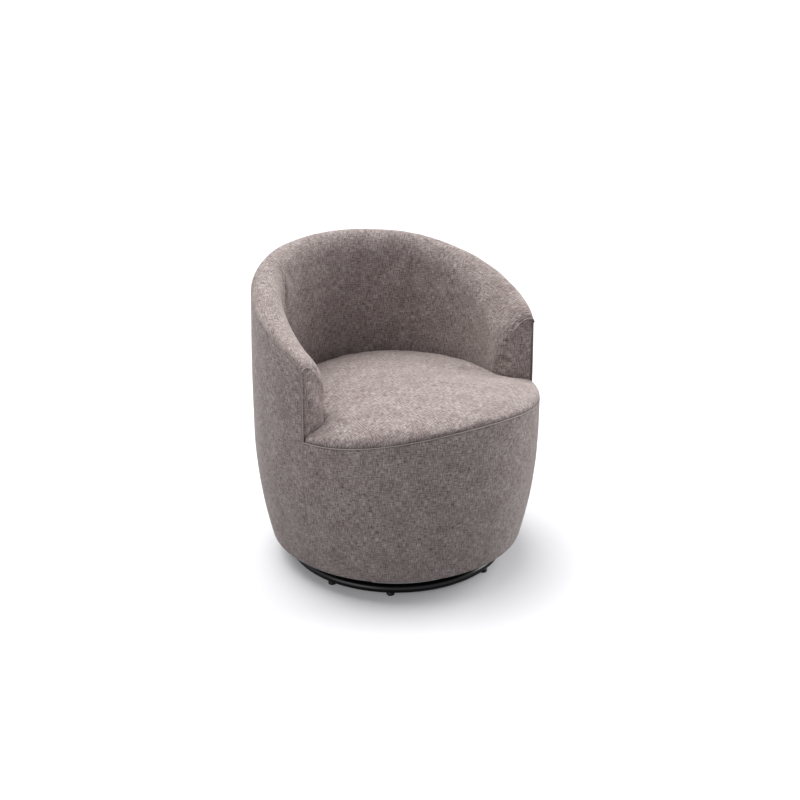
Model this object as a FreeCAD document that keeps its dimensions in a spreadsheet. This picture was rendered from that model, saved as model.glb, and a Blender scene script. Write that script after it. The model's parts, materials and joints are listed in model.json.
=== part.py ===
"""Swivel barrel chair: upholstered round body that turns on a black ring base.

Millimetres. +Z is up, the sitter faces -Y. The origin is on the floor, on the swivel axis.
"""
import FreeCAD
import Part
import Sketcher

import math
import os
import re

V = FreeCAD.Vector
UP = V(0, 0, 1)

# Driving dimensions: alias, value, what it is
DRIVING = [
    # base
    ("ring_radius", 245, "centre line of the base ring"),
    ("ring_tube", 20, "diameter of the ring's tube"),
    ("ring_lift", 5, "ring's underside above the floor"),
    ("base_turn", 7.5, "degrees the base stands turned under the seat"),
    ("glide_dia", 18, "diameter of a glide"),
    ("glide_spread", 16.5, "degrees from a cross bar to its glides"),
    ("bar_width", 30, "width of a cross bar"),
    ("bar_height", 20, "height of a cross bar"),
    ("bar_wall", 2, "wall of a cross bar"),
    ("bar_cope", 5, "cross bar's end short of the ring's centre line"),
    # swivel
    ("plate_side", 200, "side of a swivel plate"),
    ("plate_corner", 24, "corner radius of a swivel plate"),
    ("plate_thick", 3, "sheet thickness of a swivel plate"),
    ("plate_gap", 25, "space between the two plates"),
    ("fixing_pitch", 160, "bolt spacing along a plate's side"),
    ("race_radius", 70, "middle of the roller track"),
    ("race_land", 12, "half width of a track's flat land"),
    ("race_flank", 5, "width of a track's sloping flank"),
    ("roller_dia", 10, "diameter of a roller"),
    ("roller_long", 14, "length of a roller"),
    ("roller_count", 12, "number of rollers"),
    ("roller_play", 0.15, "play of a roller under each land"),
    ("cage_thick", 3, "thickness of the roller cage"),
    ("cage_half", 11, "half width of the roller cage"),
    ("window_play", 0.3, "play of a roller in its window"),
    ("stud_dia", 14, "pivot stud"),
    ("run_play", 0.05, "radial running play of the stud in its bush"),
    ("bush_wall", 2, "wall of the pivot bush"),
    ("bush_flange", 4, "how far the bush's flange stands out"),
    ("washer_dia", 30, "pivot washer"),
    ("washer_thick", 2.5, "thickness of the pivot washer"),
    ("lock_flats", 22, "lock nut across flats"),
    ("lock_high", 8, "height of the lock nut"),
    ("bolt_dia", 8, "plate bolts"),
    ("bolt_flats", 13, "plate bolt heads across flats"),
    ("bolt_head", 5, "height of a plate bolt's head"),
    ("bolt_long", 14, "length under the head of a plate bolt"),
    ("nut_high", 6, "height of a weld nut"),
    ("tee_flange", 22, "T-nut's six-sided flange across its corners"),
    ("tee_barrel", 11, "diameter of a T-nut's barrel"),
    ("tee_thick", 1.5, "thickness of a T-nut's flange"),
    ("fit_play", 0.3, "clearance between pieces that lie side by side"),
    # timber frame
    ("board_thick", 15, "bottom board"),
    ("nut_room", 22, "radius of the hole round the lock nut"),
    ("rib_thick", 18, "thickness of posts and ribs"),
    ("rib_deep", 24, "depth of an upright rib above the seat rail"),
    ("rib_shelf", 18, "depth of the ribs' shelf under the seat rail"),
    ("rib_foot", 28, "depth of an upright rib at the bottom board"),
    ("post_angle", 101, "degrees from the back to an arm post"),
    ("side_angle", 66, "degrees from the back to a side rib"),
    ("back_angle", 23, "degrees from the back to a back rib"),
    ("front_angle", 38, "degrees from the front to an outer front rib"),
    ("rail_thick", 18, "seat rail"),
    ("rail_level", 300, "underside of the seat rail"),
    ("rail_wide", 69, "width of the seat rail"),
    ("cap_high", 44, "height of the laminated top rail"),
    ("panel_thick", 3, "outer, inner and front boards"),
    ("strap_wide", 50, "width of a webbing strap"),
    ("strap_thick", 2, "thickness of a webbing strap"),
    ("strap_pitch", 80, "spacing of the webbing straps"),
    ("strap_inset", 32, "from the ribs' inner edge in to the straps' ends"),
    ("cloth_thick", 0.8, "deck cloth and dust cover"),
    # barrel form
    ("barrel_radius", 325, "widest radius of the body"),
    ("barrel_level", 320, "height of the widest radius"),
    ("lower_curve", 1080, "radius of the barrel's lower side curve"),
    ("upper_curve", 7600, "radius of the barrel's upper side curve"),
    ("body_bottom", 56, "underside of the bottom board"),
    ("skin", 1.6, "fabric thickness"),
    ("lip", 26, "fabric turned under the bottom board"),
    ("kink_level", 240, "height where the outer board turns upright"),
    ("board_inset", 17, "from the widest radius in to the outer board above the kink"),
    ("foot_inset", 16.2, "from the body's side in to the outer board at the bottom"),
    ("arm_thick", 63, "thickness of the padded back and arms"),
    ("roll_outside", 22, "radius of the rim's outer roll"),
    ("rim_flat", 11, "width of the rim between its inner and outer rolls"),
    ("rim_cover", 31, "padding from the rim's crest down to the top rail"),
    ("wall_end", 104, "degrees from the back to the ends of the boards"),
    ("arm_end", 110, "degrees from the back to the arms' outer seams"),
    ("panel_seam", 41, "degrees from the back to the inner vertical seams"),
    ("seam_gap", 0.3, "degrees between the arms' outer seams and the front panel"),
    ("arm_bands", 6, "straight lofts round each arm"),
    ("back_bands", 8, "straight lofts round the back"),
    ("front_bands", 12, "straight lofts round the front"),
    ("rim_back", 695, "rim's height at the back"),
    ("rim_side", 628, "rim's height above the swivel axis, 83 behind it"),
    ("rim_front", 549, "rim's height at the arm fronts"),
    ("rim_side_y", 83, "how far behind the axis the middle rim height is"),
    # seat
    ("seam_arm", 374, "front seam's height at the arms"),
    ("seam_rise", 40, "rise of the front seam to the middle"),
    ("crown_level", 441, "highest point of the seat"),
    ("crown_forward", 165, "how far the highest point lies before the axis"),
    ("fall_across", 61.2, "how far the seat's crown falls sideways over the widest radius"),
    ("fall_along", 40.8, "how far the seat's crown falls lengthwise over the widest radius"),
    ("crown_step", 50, "spacing of the crown's sections"),
    ("seat_middle", 90, "how far the meeting point of the seat's sections lies before the axis"),
    ("seat_shoulder", 15, "radius of the seat's rounded edge"),
    ("seat_tuck", 352, "how deep the seat cover is tucked in at the back"),
    ("arm_front_drop", 26, "how far the rim falls over an arm's front"),
]

# Sizes that follow from the driving ones
RIB_INSIDE = "barrel_radius - board_inset - rib_deep"
CROWN = "((barrel_radius ^ 2 + %s ^ 2) / (2 * %s))"
FOLLOWING = {
    "board_radius": "(barrel_radius - board_inset)",
    "foot_radius": "(barrel_radius - lower_curve - foot_inset"
    " + sqrt(lower_curve ^ 2 - (barrel_level - body_bottom) ^ 2))",
    "rib_inside": "(%s)" % RIB_INSIDE,
    "rail_inside": "(%s - rail_wide)" % RIB_INSIDE,
    "strap_reach": "(%s - strap_inset)" % RIB_INSIDE,
    "arm_inside": "(barrel_radius - arm_thick)",
    "roll_inside": "(arm_thick - roll_outside - rim_flat)",
    "crown_across": CROWN % ("fall_across", "fall_across"),
    "crown_along": CROWN % ("fall_along", "fall_along"),
}

doc = FreeCAD.newDocument("SwivelBarrelChair")
sheet = doc.addObject("Spreadsheet::Sheet", "Sizes")
for row, (alias, number, meaning) in enumerate(DRIVING, start=1):
    sheet.set("A%d" % row, alias)
    sheet.set("B%d" % row, str(number))
    sheet.set("C%d" % row, meaning)
    sheet.setAlias("B%d" % row, alias)
doc.recompute()

ALIASES = re.compile(r"\b(%s)\b" % "|".join(alias for alias, _, _ in DRIVING))
FOLLOWERS = re.compile(r"\b(%s)\b" % "|".join(FOLLOWING))
NODES = []


def bound(text):
    """An expression on the sheet's cells, from plain aliases and the sizes that follow from them."""
    return ALIASES.sub(r"Sizes.\1", FOLLOWERS.sub(lambda found: FOLLOWING[found.group()], text))


def size(text):
    """The number that an expression of aliases has now."""
    found = sheet.evalExpression(bound(text))
    return float(getattr(found, "Value", found))


def node(thing, name):
    """Mark a finished piece as a node of the part."""
    thing.Label = name
    NODES.append(thing)
    return thing


def bind(thing, **expressions):
    """Tie properties to the sheet. A double underscore stands for the dot in a path."""
    for path, text in expressions.items():
        thing.setExpression(path.replace("__", "."), bound(text))
    return thing


def place(thing, x="0", y="0", z="0", turn="0"):
    """Place a piece, tied to the sheet: a position and a turn about Z in degrees."""
    thing.Placement = FreeCAD.Placement(V(0, 0, 0), FreeCAD.Rotation(UP, 1))
    return bind(
        thing,
        Placement__Base__x=x,
        Placement__Base__y=y,
        Placement__Base__z=z,
        Placement__Rotation__Angle="(%s) * 1 deg" % turn,
    )


def around(radius, turn):
    """Expressions for x and y at a radius and an angle in degrees from +X."""
    return "(%s) * cos((%s) * 1 deg)" % (radius, turn), "(%s) * sin((%s) * 1 deg)" % (radius, turn)


# Sketches and features


def new_body(name):
    return doc.addObject("PartDesign::Body", name)


def new_sketch(body, plane, name):
    """A sketch on one of the body's own origin planes."""
    sketch = body.newObject("Sketcher::SketchObject", name)
    planes = [item for item in body.Origin.OriginFeatures if item.Role == plane]
    sketch.AttachmentSupport = [(planes[0], "")]
    sketch.MapMode = "FlatFace"
    return sketch


def pin_point(sketch, geometry, end, x, y):
    """Hold one point of a sketch at two expressions of the sheet."""
    for kind, axis, text in (("DistanceX", -2, x), ("DistanceY", -1, y)):
        if text == "0":
            sketch.addConstraint(Sketcher.Constraint("PointOnObject", geometry, end, axis))
        else:
            made = sketch.addConstraint(Sketcher.Constraint(kind, -1, 1, geometry, end, size(text)))
            sketch.setExpression("Constraints[%d]" % made, bound(text))


def polygon(sketch, corners):
    """A closed outline of straight lines through corners given as pairs of expressions."""
    points = [V(size(x), size(y), 0) for x, y in corners]
    count = len(points)
    lines = [
        sketch.addGeometry(Part.LineSegment(points[i], points[(i + 1) % count]), False)
        for i in range(count)
    ]
    for i in range(count):
        joined = Sketcher.Constraint("Coincident", lines[i], 2, lines[(i + 1) % count], 1)
        sketch.addConstraint(joined)
    for line, (x, y) in zip(lines, corners):
        pin_point(sketch, line, 1, x, y)
    return lines


def circle(sketch, x, y, radius):
    """A circle with its centre and radius tied to the sheet."""
    shape = Part.Circle(V(size(x), size(y), 0), UP, size(radius))
    made = sketch.addGeometry(shape, False)
    if x == "0" and y == "0":
        sketch.addConstraint(Sketcher.Constraint("Coincident", made, 3, -1, 1))
    else:
        pin_point(sketch, made, 3, x, y)
    held = sketch.addConstraint(Sketcher.Constraint("Radius", made, size(radius)))
    sketch.setExpression("Constraints[%d]" % held, bound(radius))
    return made


def pad(body, sketch, length, name, midplane=False, reverse=False):
    feature = body.newObject("PartDesign::Pad", name)
    feature.Profile = sketch
    feature.Midplane = midplane
    feature.Reversed = reverse
    bind(feature, Length=length)
    doc.recompute()
    return feature


def pocket(body, sketch, name, reverse=False):
    """Cut a sketch right through the body, and make sure that it cut something."""
    before = body.Shape.Volume
    feature = body.newObject("PartDesign::Pocket", name)
    feature.Profile = sketch
    feature.Type = "ThroughAll"
    feature.Midplane = True
    feature.Reversed = reverse
    doc.recompute()
    assert body.Shape.Volume < before, name + " cuts nothing"
    return feature


def turned(body, sketch, name, kind="Revolution", angle="360", midplane=False):
    """Turn a sketch about the body's Z axis, to add or to cut."""
    before = body.Shape.Volume if kind == "Groove" else 0
    feature = body.newObject("PartDesign::" + kind, name)
    feature.Profile = sketch
    axes = [item for item in body.Origin.OriginFeatures if item.Role == "Z_Axis"]
    feature.ReferenceAxis = (axes[0], [""])
    feature.Midplane = midplane
    bind(feature, Angle=angle)
    doc.recompute()
    if kind == "Groove":
        assert body.Shape.Volume < before, name + " cuts nothing"
    return feature


def repeated(body, feature, count, name):
    """A full circle of copies of a feature about the body's Z axis."""
    pattern = body.newObject("PartDesign::PolarPattern", name)
    pattern.Originals = [feature]
    axes = [item for item in body.Origin.OriginFeatures if item.Role == "Z_Axis"]
    pattern.Axis = (axes[0], [""])
    pattern.Angle = 360
    bind(pattern, Occurrences=count)
    body.Tip = pattern
    doc.recompute()
    return pattern


def group(name, pieces):
    """Several separate solids in one node."""
    made = doc.addObject("Part::Compound", name)
    made.Links = pieces
    return node(made, name)


def cylinder(name, radius, height):
    made = doc.addObject("Part::Cylinder", name)
    return bind(made, Radius=radius, Height=height)


def cut(name, base, tool):
    made = doc.addObject("Part::Cut", name)
    made.Base = base
    made.Tool = tool
    return made


# Stationary base

BAR_TOP = "(ring_lift + bar_height)"
LOWER_TOP = "(ring_lift + bar_height + plate_thick)"
UPPER_UNDER = "(ring_lift + bar_height + plate_thick + plate_gap)"
RACE_LEVEL = "(ring_lift + bar_height + plate_thick + plate_gap / 2)"
RING_SIDES = 12  # flats round the ring's tube; one of them is level, for the glides
BAR_TURNS = ["%d - base_turn" % angle for angle in (45, 135, 225, 315)]


def base_ring():
    """The steel tube ring that stands on its glides."""
    body = new_body("base_ring")
    section = new_sketch(body, "XZ_Plane", "ring_section")
    corners = []
    for i in range(RING_SIDES):
        turn = "%g" % (360 * (i + 0.5) / RING_SIDES)
        far, high = around("ring_tube / 2 / cos(%g * 1 deg)" % (180 / RING_SIDES), turn)
        corners.append(("ring_radius + " + far, high))
    polygon(section, corners)
    turned(body, section, "ring_turn")
    return node(place(body, z="ring_lift + ring_tube / 2"), "base_ring")


def base_glides():
    """Two glides beside each cross bar, under the ring's level flat."""
    glides = []
    for turn in BAR_TURNS:
        for side in "+-":
            glide = cylinder("glide_%d" % len(glides), "glide_dia / 2", "ring_lift")
            place(glide, *around("ring_radius", "%s %s glide_spread" % (turn, side)))
            glides.append(glide)
    return group("base_glides", glides)


def bar_cutters(ring):
    """What is cut out of the cross bars: the ring's tube and the bolt holes in their top walls."""
    drills = []
    for i, turn in enumerate(BAR_TURNS):
        drill = cylinder("bar_drill_%d" % i, "bolt_dia / 2", "bar_wall * 2")
        place(drill, *around("fixing_pitch / sqrt(2)", turn), z=BAR_TOP + " - bar_wall * 1.5")
        drills.append(drill)
    together = doc.addObject("Part::Compound", "bar_cutters")
    together.Links = [ring] + drills
    return together


def cross_bar(cutters, name, turn, start, length):
    """A rectangular tube from the middle to the ring, its end coped round the ring's tube."""
    body = new_body(name + "_tube")
    section = new_sketch(body, "YZ_Plane", name + "_section")
    half, top, wall = "bar_width / 2", "bar_height", "bar_wall"
    polygon(section, [("-" + half, "0"), (half, "0"), (half, top), ("-" + half, top)])
    left, right = "-%s + %s" % (half, wall), "%s - %s" % (half, wall)
    ceiling = "%s - %s" % (top, wall)
    polygon(section, [(left, wall), (right, wall), (right, ceiling), (left, ceiling)])
    pad(body, section, length, name + "_length")
    place(body, *around(start, turn), z="ring_lift", turn=turn)
    return node(cut(name, body, cutters), name)


def cross_bars(ring):
    """One bar right across the ring and two short ones welded to its sides."""
    cutters = bar_cutters(ring)
    reach = "(ring_radius - bar_cope)"
    cross_bar(cutters, "cross_bar_long", BAR_TURNS[0], "-" + reach, "2 * " + reach)
    for name, turn in (("cross_bar_short_a", BAR_TURNS[1]), ("cross_bar_short_b", BAR_TURNS[3])):
        cross_bar(cutters, name, turn, "bar_width / 2", reach + " - bar_width / 2")


def swivel_plate(name, faces_up):
    """A pressed square plate with rounded corners, a raised roller track and a centre hole.

    Its own z = 0 is the face that looks at the other plate.
    """
    toward, away = ("", "-") if faces_up else ("-", "")
    body = new_body(name)
    square = new_sketch(body, "XY_Plane", name + "_outline")
    half = "plate_side / 2"
    polygon(square, [("-" + half, "-" + half), (half, "-" + half), (half, half), ("-" + half, half)])
    sheet_metal = pad(body, square, "plate_thick", name + "_sheet", reverse=faces_up)
    upright = [
        "Edge%d" % (i + 1)
        for i, edge in enumerate(body.Shape.Edges)
        if abs(edge.tangentAt(edge.FirstParameter).z) > 0.9
    ]
    corners = body.newObject("PartDesign::Fillet", name + "_corners")
    corners.Base = (sheet_metal, upright)
    bind(corners, Radius="plate_corner")
    doc.recompute()
    inner, outer = "race_radius - race_land", "race_radius + race_land"
    land = toward + "(plate_gap / 2 - roller_dia / 2 - roller_play)"
    middle = away + "plate_thick / 2"
    race = new_sketch(body, "XZ_Plane", name + "_race")
    foot_in, foot_out = inner + " - race_flank", outer + " + race_flank"
    polygon(race, [(foot_in, middle), (foot_out, middle), (outer, land), (inner, land)])
    turned(body, race, name + "_raised")
    deep = toward + "(plate_gap / 2 - roller_dia / 2 - roller_play - plate_thick)"
    back = away + "plate_thick"
    hollow = new_sketch(body, "XZ_Plane", name + "_hollow")
    polygon(
        hollow,
        [(foot_in + " + plate_thick", back), (foot_out + " - plate_thick", back), (outer, deep), (inner, deep)],
    )
    turned(body, hollow, name + "_channel", kind="Groove")
    hole = new_sketch(body, "XY_Plane", name + "_centre")
    circle(hole, "0", "0", "stud_dia / 2" if faces_up else "stud_dia / 2 + run_play + bush_wall")
    pocket(body, hole, name + "_centre_hole")
    fixing = new_sketch(body, "XY_Plane", name + "_fixing")
    circle(fixing, "fixing_pitch / 2", "fixing_pitch / 2", "bolt_dia / 2")
    one = pocket(body, fixing, name + "_fixing_hole")
    repeated(body, one, "4", name + "_fixing_holes")
    level = LOWER_TOP if faces_up else UPPER_UNDER
    return node(place(body, z=level, turn="-base_turn" if faces_up else "0"), name)


def plate_bolt(name, upward):
    """A hexagon bolt: z = 0 is the seat of its head, its shank goes up or down from there."""
    top = doc.addObject("Part::Prism", name + "_head")
    bind(top, Circumradius="bolt_flats / sqrt(3)", Height="bolt_head")
    stem = cylinder(name + "_shank", "bolt_dia / 2", "bolt_long + bolt_head / 2")
    bind(top, Placement__Base__z="-bolt_head" if upward else "0")
    bind(stem, Placement__Base__z="-bolt_head / 2" if upward else "-bolt_long")
    whole = doc.addObject("Part::Fuse", name)
    whole.Base = top
    whole.Tool = stem
    return whole


def bolt_up(name):
    return plate_bolt(name, upward=True)


def bolt_down(name):
    return plate_bolt(name, upward=False)


def at_fixings(name, make, level, on_base):
    """Four copies of a fastener at the corners of the fixing pattern."""
    pieces = []
    for i in range(4):
        turn = BAR_TURNS[i] if on_base else str(45 + 90 * i)
        piece = make("%s_%d" % (name, i))
        place(piece, *around("fixing_pitch / sqrt(2)", turn), z=level)
        pieces.append(piece)
    return group(name, pieces)


def ring_piece(name, outer, inner, height):
    """A round piece with a hole, standing on z = 0."""
    body = cylinder(name + "_blank", outer, height)
    hole = cylinder(name + "_hole", inner, height)
    return cut(name, body, hole)


def weld_nut(name):
    block = doc.addObject("Part::Prism", name + "_block")
    bind(block, Circumradius="bolt_flats / sqrt(3)", Height="nut_high")
    hole = cylinder(name + "_hole", "bolt_dia / 2", "nut_high")
    return cut(name, block, hole)


def tee_nut(name):
    """A flange on the bottom board with a barrel down into it."""
    flange = doc.addObject("Part::Prism", name + "_flange")
    bind(flange, Circumradius="tee_flange / 2", Height="tee_thick")
    barrel = cylinder(name + "_barrel", "tee_barrel / 2", "board_thick - fit_play")
    bind(barrel, Placement__Base__z="-(board_thick - fit_play)")
    solid = doc.addObject("Part::Fuse", name + "_solid")
    solid.Base = flange
    solid.Tool = barrel
    hole = cylinder(name + "_thread", "bolt_dia / 2", "board_thick + tee_thick")
    bind(hole, Placement__Base__z="-board_thick")
    return cut(name, solid, hole)


def pivot():
    """The stud welded to the lower plate, with its washer and lock nut above the upper plate."""
    above = UPPER_UNDER + " + plate_thick + bush_wall / 2 + fit_play"
    stud = cylinder("pivot_stud", "stud_dia / 2", "%s + washer_thick + lock_high - %s" % (above, BAR_TOP))
    node(place(stud, z=BAR_TOP), "pivot_stud")
    washer = ring_piece("pivot_washer", "washer_dia / 2", "stud_dia / 2", "washer_thick")
    node(place(washer, z=above), "pivot_washer")
    lock = doc.addObject("Part::Prism", "lock_block")
    bind(lock, Circumradius="lock_flats / sqrt(3)", Height="lock_high")
    thread = cylinder("lock_thread", "stud_dia / 2", "lock_high")
    node(place(cut("lock_nut", lock, thread), z=above + " + washer_thick"), "lock_nut")


def pivot_bush():
    """A flanged bush pressed into the upper plate."""
    barrel = cylinder("bush_barrel", "stud_dia / 2 + run_play + bush_wall", "plate_thick")
    flange = cylinder("bush_flange_disc", "stud_dia / 2 + run_play + bush_wall + bush_flange", "bush_wall / 2")
    bind(flange, Placement__Base__z="plate_thick")
    solid = doc.addObject("Part::Fuse", "bush_solid")
    solid.Base = barrel
    solid.Tool = flange
    bore = cylinder("bush_bore", "stud_dia / 2 + run_play", "plate_thick + bush_wall")
    node(place(cut("pivot_bush", solid, bore), z=UPPER_UNDER), "pivot_bush")


def bearing():
    """The rollers and the cage that spaces them, in the middle between the two plates."""
    cage = new_body("roller_cage")
    band = new_sketch(cage, "XY_Plane", "cage_band")
    circle(band, "0", "0", "race_radius + cage_half")
    circle(band, "0", "0", "race_radius - cage_half")
    pad(cage, band, "cage_thick", "cage_ring", midplane=True)
    window = new_sketch(cage, "XY_Plane", "cage_window")
    long, wide = "(roller_long / 2 + window_play)", "(roller_dia / 2 + window_play)"
    near, far = "race_radius - " + long, "race_radius + " + long
    polygon(window, [(near, "-" + wide), (far, "-" + wide), (far, wide), (near, wide)])
    one = pocket(cage, window, "cage_window_hole")
    repeated(cage, one, "roller_count", "cage_windows")
    node(place(cage, z=RACE_LEVEL), "roller_cage")
    rollers = []
    for i in range(int(size("roller_count"))):
        roller = new_body("roller_%d" % i)
        end = new_sketch(roller, "YZ_Plane", "roller_%d_end" % i)
        circle(end, "0", "0", "roller_dia / 2")
        pad(roller, end, "roller_long", "roller_%d_length" % i, midplane=True)
        turn = "%d * 360 / roller_count" % i
        rollers.append(place(roller, *around("race_radius", turn), z=RACE_LEVEL, turn=turn))
    group("bearing_rollers", rollers)


# Timber frame of the turning body


def bottom_board():
    """The round plywood board that everything above stands on."""
    body = new_body("bottom_board")
    disc = new_sketch(body, "XY_Plane", "board_disc")
    circle(disc, "0", "0", "foot_radius - fit_play")
    circle(disc, "0", "0", "nut_room")
    pad(body, disc, "board_thick", "board_sheet")
    fixing = new_sketch(body, "XY_Plane", "board_fixing")
    circle(fixing, "fixing_pitch / 2", "fixing_pitch / 2", "tee_barrel / 2")
    one = pocket(body, fixing, "board_fixing_hole")
    repeated(body, one, "4", "board_fixing_holes")
    node(place(body, z="body_bottom"), "bottom_board")


def dust_cover():
    """Thin black cloth under the board, round the swivel plate."""
    cloth = ring_piece(
        "dust_cover", "foot_radius - lip / 2 - fit_play", "plate_side / sqrt(2)", "cloth_thick"
    )
    node(place(cloth, z="body_bottom - cloth_thick"), "dust_cover")


def rim_height(angle):
    """The rim crest's height: in side view it is an arc through three heights."""
    heights = [
        V(size("barrel_radius"), size("rim_back"), 0),
        V(size("rim_side_y"), size("rim_side"), 0),
        V(size("barrel_radius * cos(arm_end * 1 deg)"), size("rim_front"), 0),
    ]
    arc = Part.Arc(*heights).toShape().Curve
    along = size("barrel_radius") * math.cos(math.radians(angle))
    return arc.Center.y + math.sqrt(arc.Radius ** 2 - (along - arc.Center.x) ** 2)


def upright_rib(name, turn, top):
    """A plywood rib on the bottom board, its outer edge cut to the slope of the outer board."""
    body = new_body(name)
    outline = new_sketch(body, "XZ_Plane", name + "_outline")
    foot = "body_bottom + board_thick"
    slope = "(board_radius - foot_radius) / (kink_level - body_bottom)"
    outer = "board_radius - fit_play"
    corners = [
        ("foot_radius - rib_foot", foot),
        ("foot_radius - fit_play + board_thick * %s" % slope, foot),
        (outer, "kink_level"),
        (outer, top),
    ]
    if top != "rail_level":
        corners += [("rib_inside", top), ("rib_inside", "rail_level")]
    corners.append(("rib_inside - rib_shelf", "rail_level"))
    polygon(outline, corners)
    pad(body, outline, "rib_thick", name + "_sheet", midplane=True)
    node(place(body, turn=turn), name)


def ribs():
    """Posts and ribs round the body. A tall one ends under the laminated top rail."""
    for name, angle in (("arm_post", "post_angle"), ("side_rib", "side_angle"), ("back_rib", "back_angle")):
        low_side = size(angle) + math.degrees(math.asin(size("rib_thick / 2 / rib_inside")))
        top = "%.3f - rim_cover - cap_high - fit_play" % rim_height(low_side)
        upright_rib(name + "_left", "90 + " + angle, top)
        upright_rib(name + "_right", "90 - " + angle, top)
    for name, turn in (
        ("front_rib_left", "270 - front_angle"),
        ("front_rib_middle", "270"),
        ("front_rib_right", "270 + front_angle"),
    ):
        upright_rib(name, turn, "rail_level")


def seat_rail():
    """The plywood ring on the ribs' shelves that carries the webbing."""
    body = new_body("seat_rail")
    ring = new_sketch(body, "XY_Plane", "seat_rail_ring")
    circle(ring, "0", "0", "rib_inside - fit_play")
    circle(ring, "0", "0", "rail_inside")
    pad(body, ring, "rail_thick", "seat_rail_sheet")
    node(place(body, z="rail_level"), "seat_rail")


def front_rail():
    """The curved rail on the front ribs, from arm to arm."""
    body = new_body("front_rail")
    section = new_sketch(body, "XZ_Plane", "front_rail_section")
    near, far = "rib_inside + fit_play", "board_radius - fit_play"
    polygon(section, [(near, "0"), (far, "0"), (far, "rail_thick"), (near, "rail_thick")])
    turned(body, section, "front_rail_arc", angle="2 * (180 - arm_end - seam_gap)", midplane=True)
    node(place(body, z="rail_level", turn="270"), "front_rail")


def webbing():
    """Elastic straps from front to back, more across them, and the cloth over both."""
    level = "rail_level + rail_thick"
    for name, lengthwise in (("webbing_long", True), ("webbing_cross", False)):
        straps = []
        for step in ("-1.5", "-0.5", "0.5", "1.5"):
            middle = "(%s * strap_pitch)" % step
            edge = "(%s + strap_wide / 2)" % ("1.5 * strap_pitch" if "1.5" in step else "0.5 * strap_pitch")
            reach = "sqrt(strap_reach ^ 2 - %s ^ 2)" % edge
            strap = doc.addObject("Part::Box", "%s_%d" % (name, len(straps)))
            across, along = ("Width", "Length") if not lengthwise else ("Length", "Width")
            bind(strap, Height="strap_thick", **{across: "strap_wide", along: "2 * " + reach})
            low = middle + " - strap_wide / 2"
            if lengthwise:
                place(strap, x=low, y="-" + reach, z=level)
            else:
                place(strap, x="-" + reach, y=low, z=level + " + strap_thick")
            straps.append(strap)
        group(name, straps)
    cloth = cylinder("deck_cloth", "strap_reach + strap_thick", "cloth_thick")
    node(place(cloth, z=level + " + 2 * strap_thick"), "deck_cloth")


# Upholstery: solids lofted round the body through one section at each station


class Path:
    """Lines and arcs in a section plane: distance from the axis, height.

    A plain path has two chords for each arc, as padding needs no finer form.
    """

    def __init__(self, far, high, plain=False):
        self.steps = [((far, high),)]
        self.plain = plain

    def line(self, far, high):
        self.steps.append(((far, high),))
        return self

    def arc(self, through, to):
        if self.plain:
            return self.line(*through).line(*to)
        self.steps.append((through, to))
        return self

    def quarter(self, to, rises):
        """A quarter round to a point: it leaves upright where it rises, and level where it falls."""
        (far, high) = self.steps[-1][-1]
        middle = math.sqrt(0.5)
        wide, tall = to[0] - far, to[1] - high
        if rises:
            through = (far + wide * (1 - middle), high + tall * middle)
        else:
            through = (far + wide * middle, high + tall * (1 - middle))
        return self.arc(through, to)

    def backward(self):
        """The same path from its end to its start, as steps to add to another path."""
        ends = [step[-1] for step in self.steps]
        turned_round = [(ends[-1],)]
        for i in range(len(self.steps) - 1, 0, -1):
            turned_round.append(tuple(self.steps[i][:-1]) + (ends[i - 1],))
        return turned_round

    def band(self, inner):
        """The closed outline between this path and one inside it."""
        joined = Path(0, 0)
        joined.steps = self.steps + inner.backward()
        return joined

    def wire(self, point):
        """The closed wire of this path, where point turns a distance and a height into a place."""
        edges = []
        here = self.steps[0][-1]
        for step in self.steps[1:] + [(self.steps[0][-1],)]:
            there = step[-1]
            if len(step) == 2:
                edges.append(Part.Arc(point(*here), point(*step[0]), point(*there)).toShape())
            else:
                edges.append(Part.makeLine(point(*here), point(*there)))
            here = there
        return Part.Wire(edges)


def polar(angle):
    """Places in the upright plane at an angle from the back, towards +X."""
    across, along = math.sin(math.radians(angle)), math.cos(math.radians(angle))
    return lambda far, high: V(far * across, far * along, high)


def lofted(name, wires, closed=False):
    """A node lofted straight from each section to the next."""
    made = doc.addObject("Part::Feature", name)
    made.Shape = Part.makeLoft(wires, True, True, closed)
    return node(made, name)


def round_wall(name, angles, section):
    """A node with one section at each angle round the body."""
    return lofted(name, [section(angle).wire(polar(angle)) for angle in angles])


def spread(start, end, pieces):
    """Evenly spaced angles from start to end."""
    return [start + (end - start) * i / pieces for i in range(pieces + 1)]


def barrel(level):
    """The body's outer radius at a height: two side curves that meet upright at the widest level."""
    curve = size("lower_curve" if level < size("barrel_level") else "upper_curve")
    drop = level - size("barrel_level")
    return size("barrel_radius") - curve + math.sqrt(curve ** 2 - drop ** 2)


def arm_angles():
    """Angles round the back and arms between the ends of the boards, with one at each inner seam."""
    end, seam = size("wall_end"), size("panel_seam")
    arm = spread(seam, end, int(size("arm_bands")))
    back = spread(-seam, seam, int(size("back_bands")))
    return [-angle for angle in reversed(arm)] + back[1:-1] + arm


def nose_angles():
    """Angles round an arm's front, closer together as it rounds off."""
    start, end = size("wall_end"), size("arm_end")
    return [start + (end - start) * part for part in (0, 0.45, 0.75, 0.93, 1)]


def wall_angles():
    """Angles from one outer seam to the other."""
    nose = nose_angles()
    return [-angle for angle in reversed(nose)] + arm_angles()[1:-1] + nose


def front_angles():
    """Angles across the front, measured on from the back through +X."""
    start = size("arm_end + seam_gap")
    return spread(start, 360 - start, int(size("front_bands")))


def from_back(angle):
    """An angle round the body as its smallest distance from the back."""
    return min(abs(angle), 360 - abs(angle))


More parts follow.
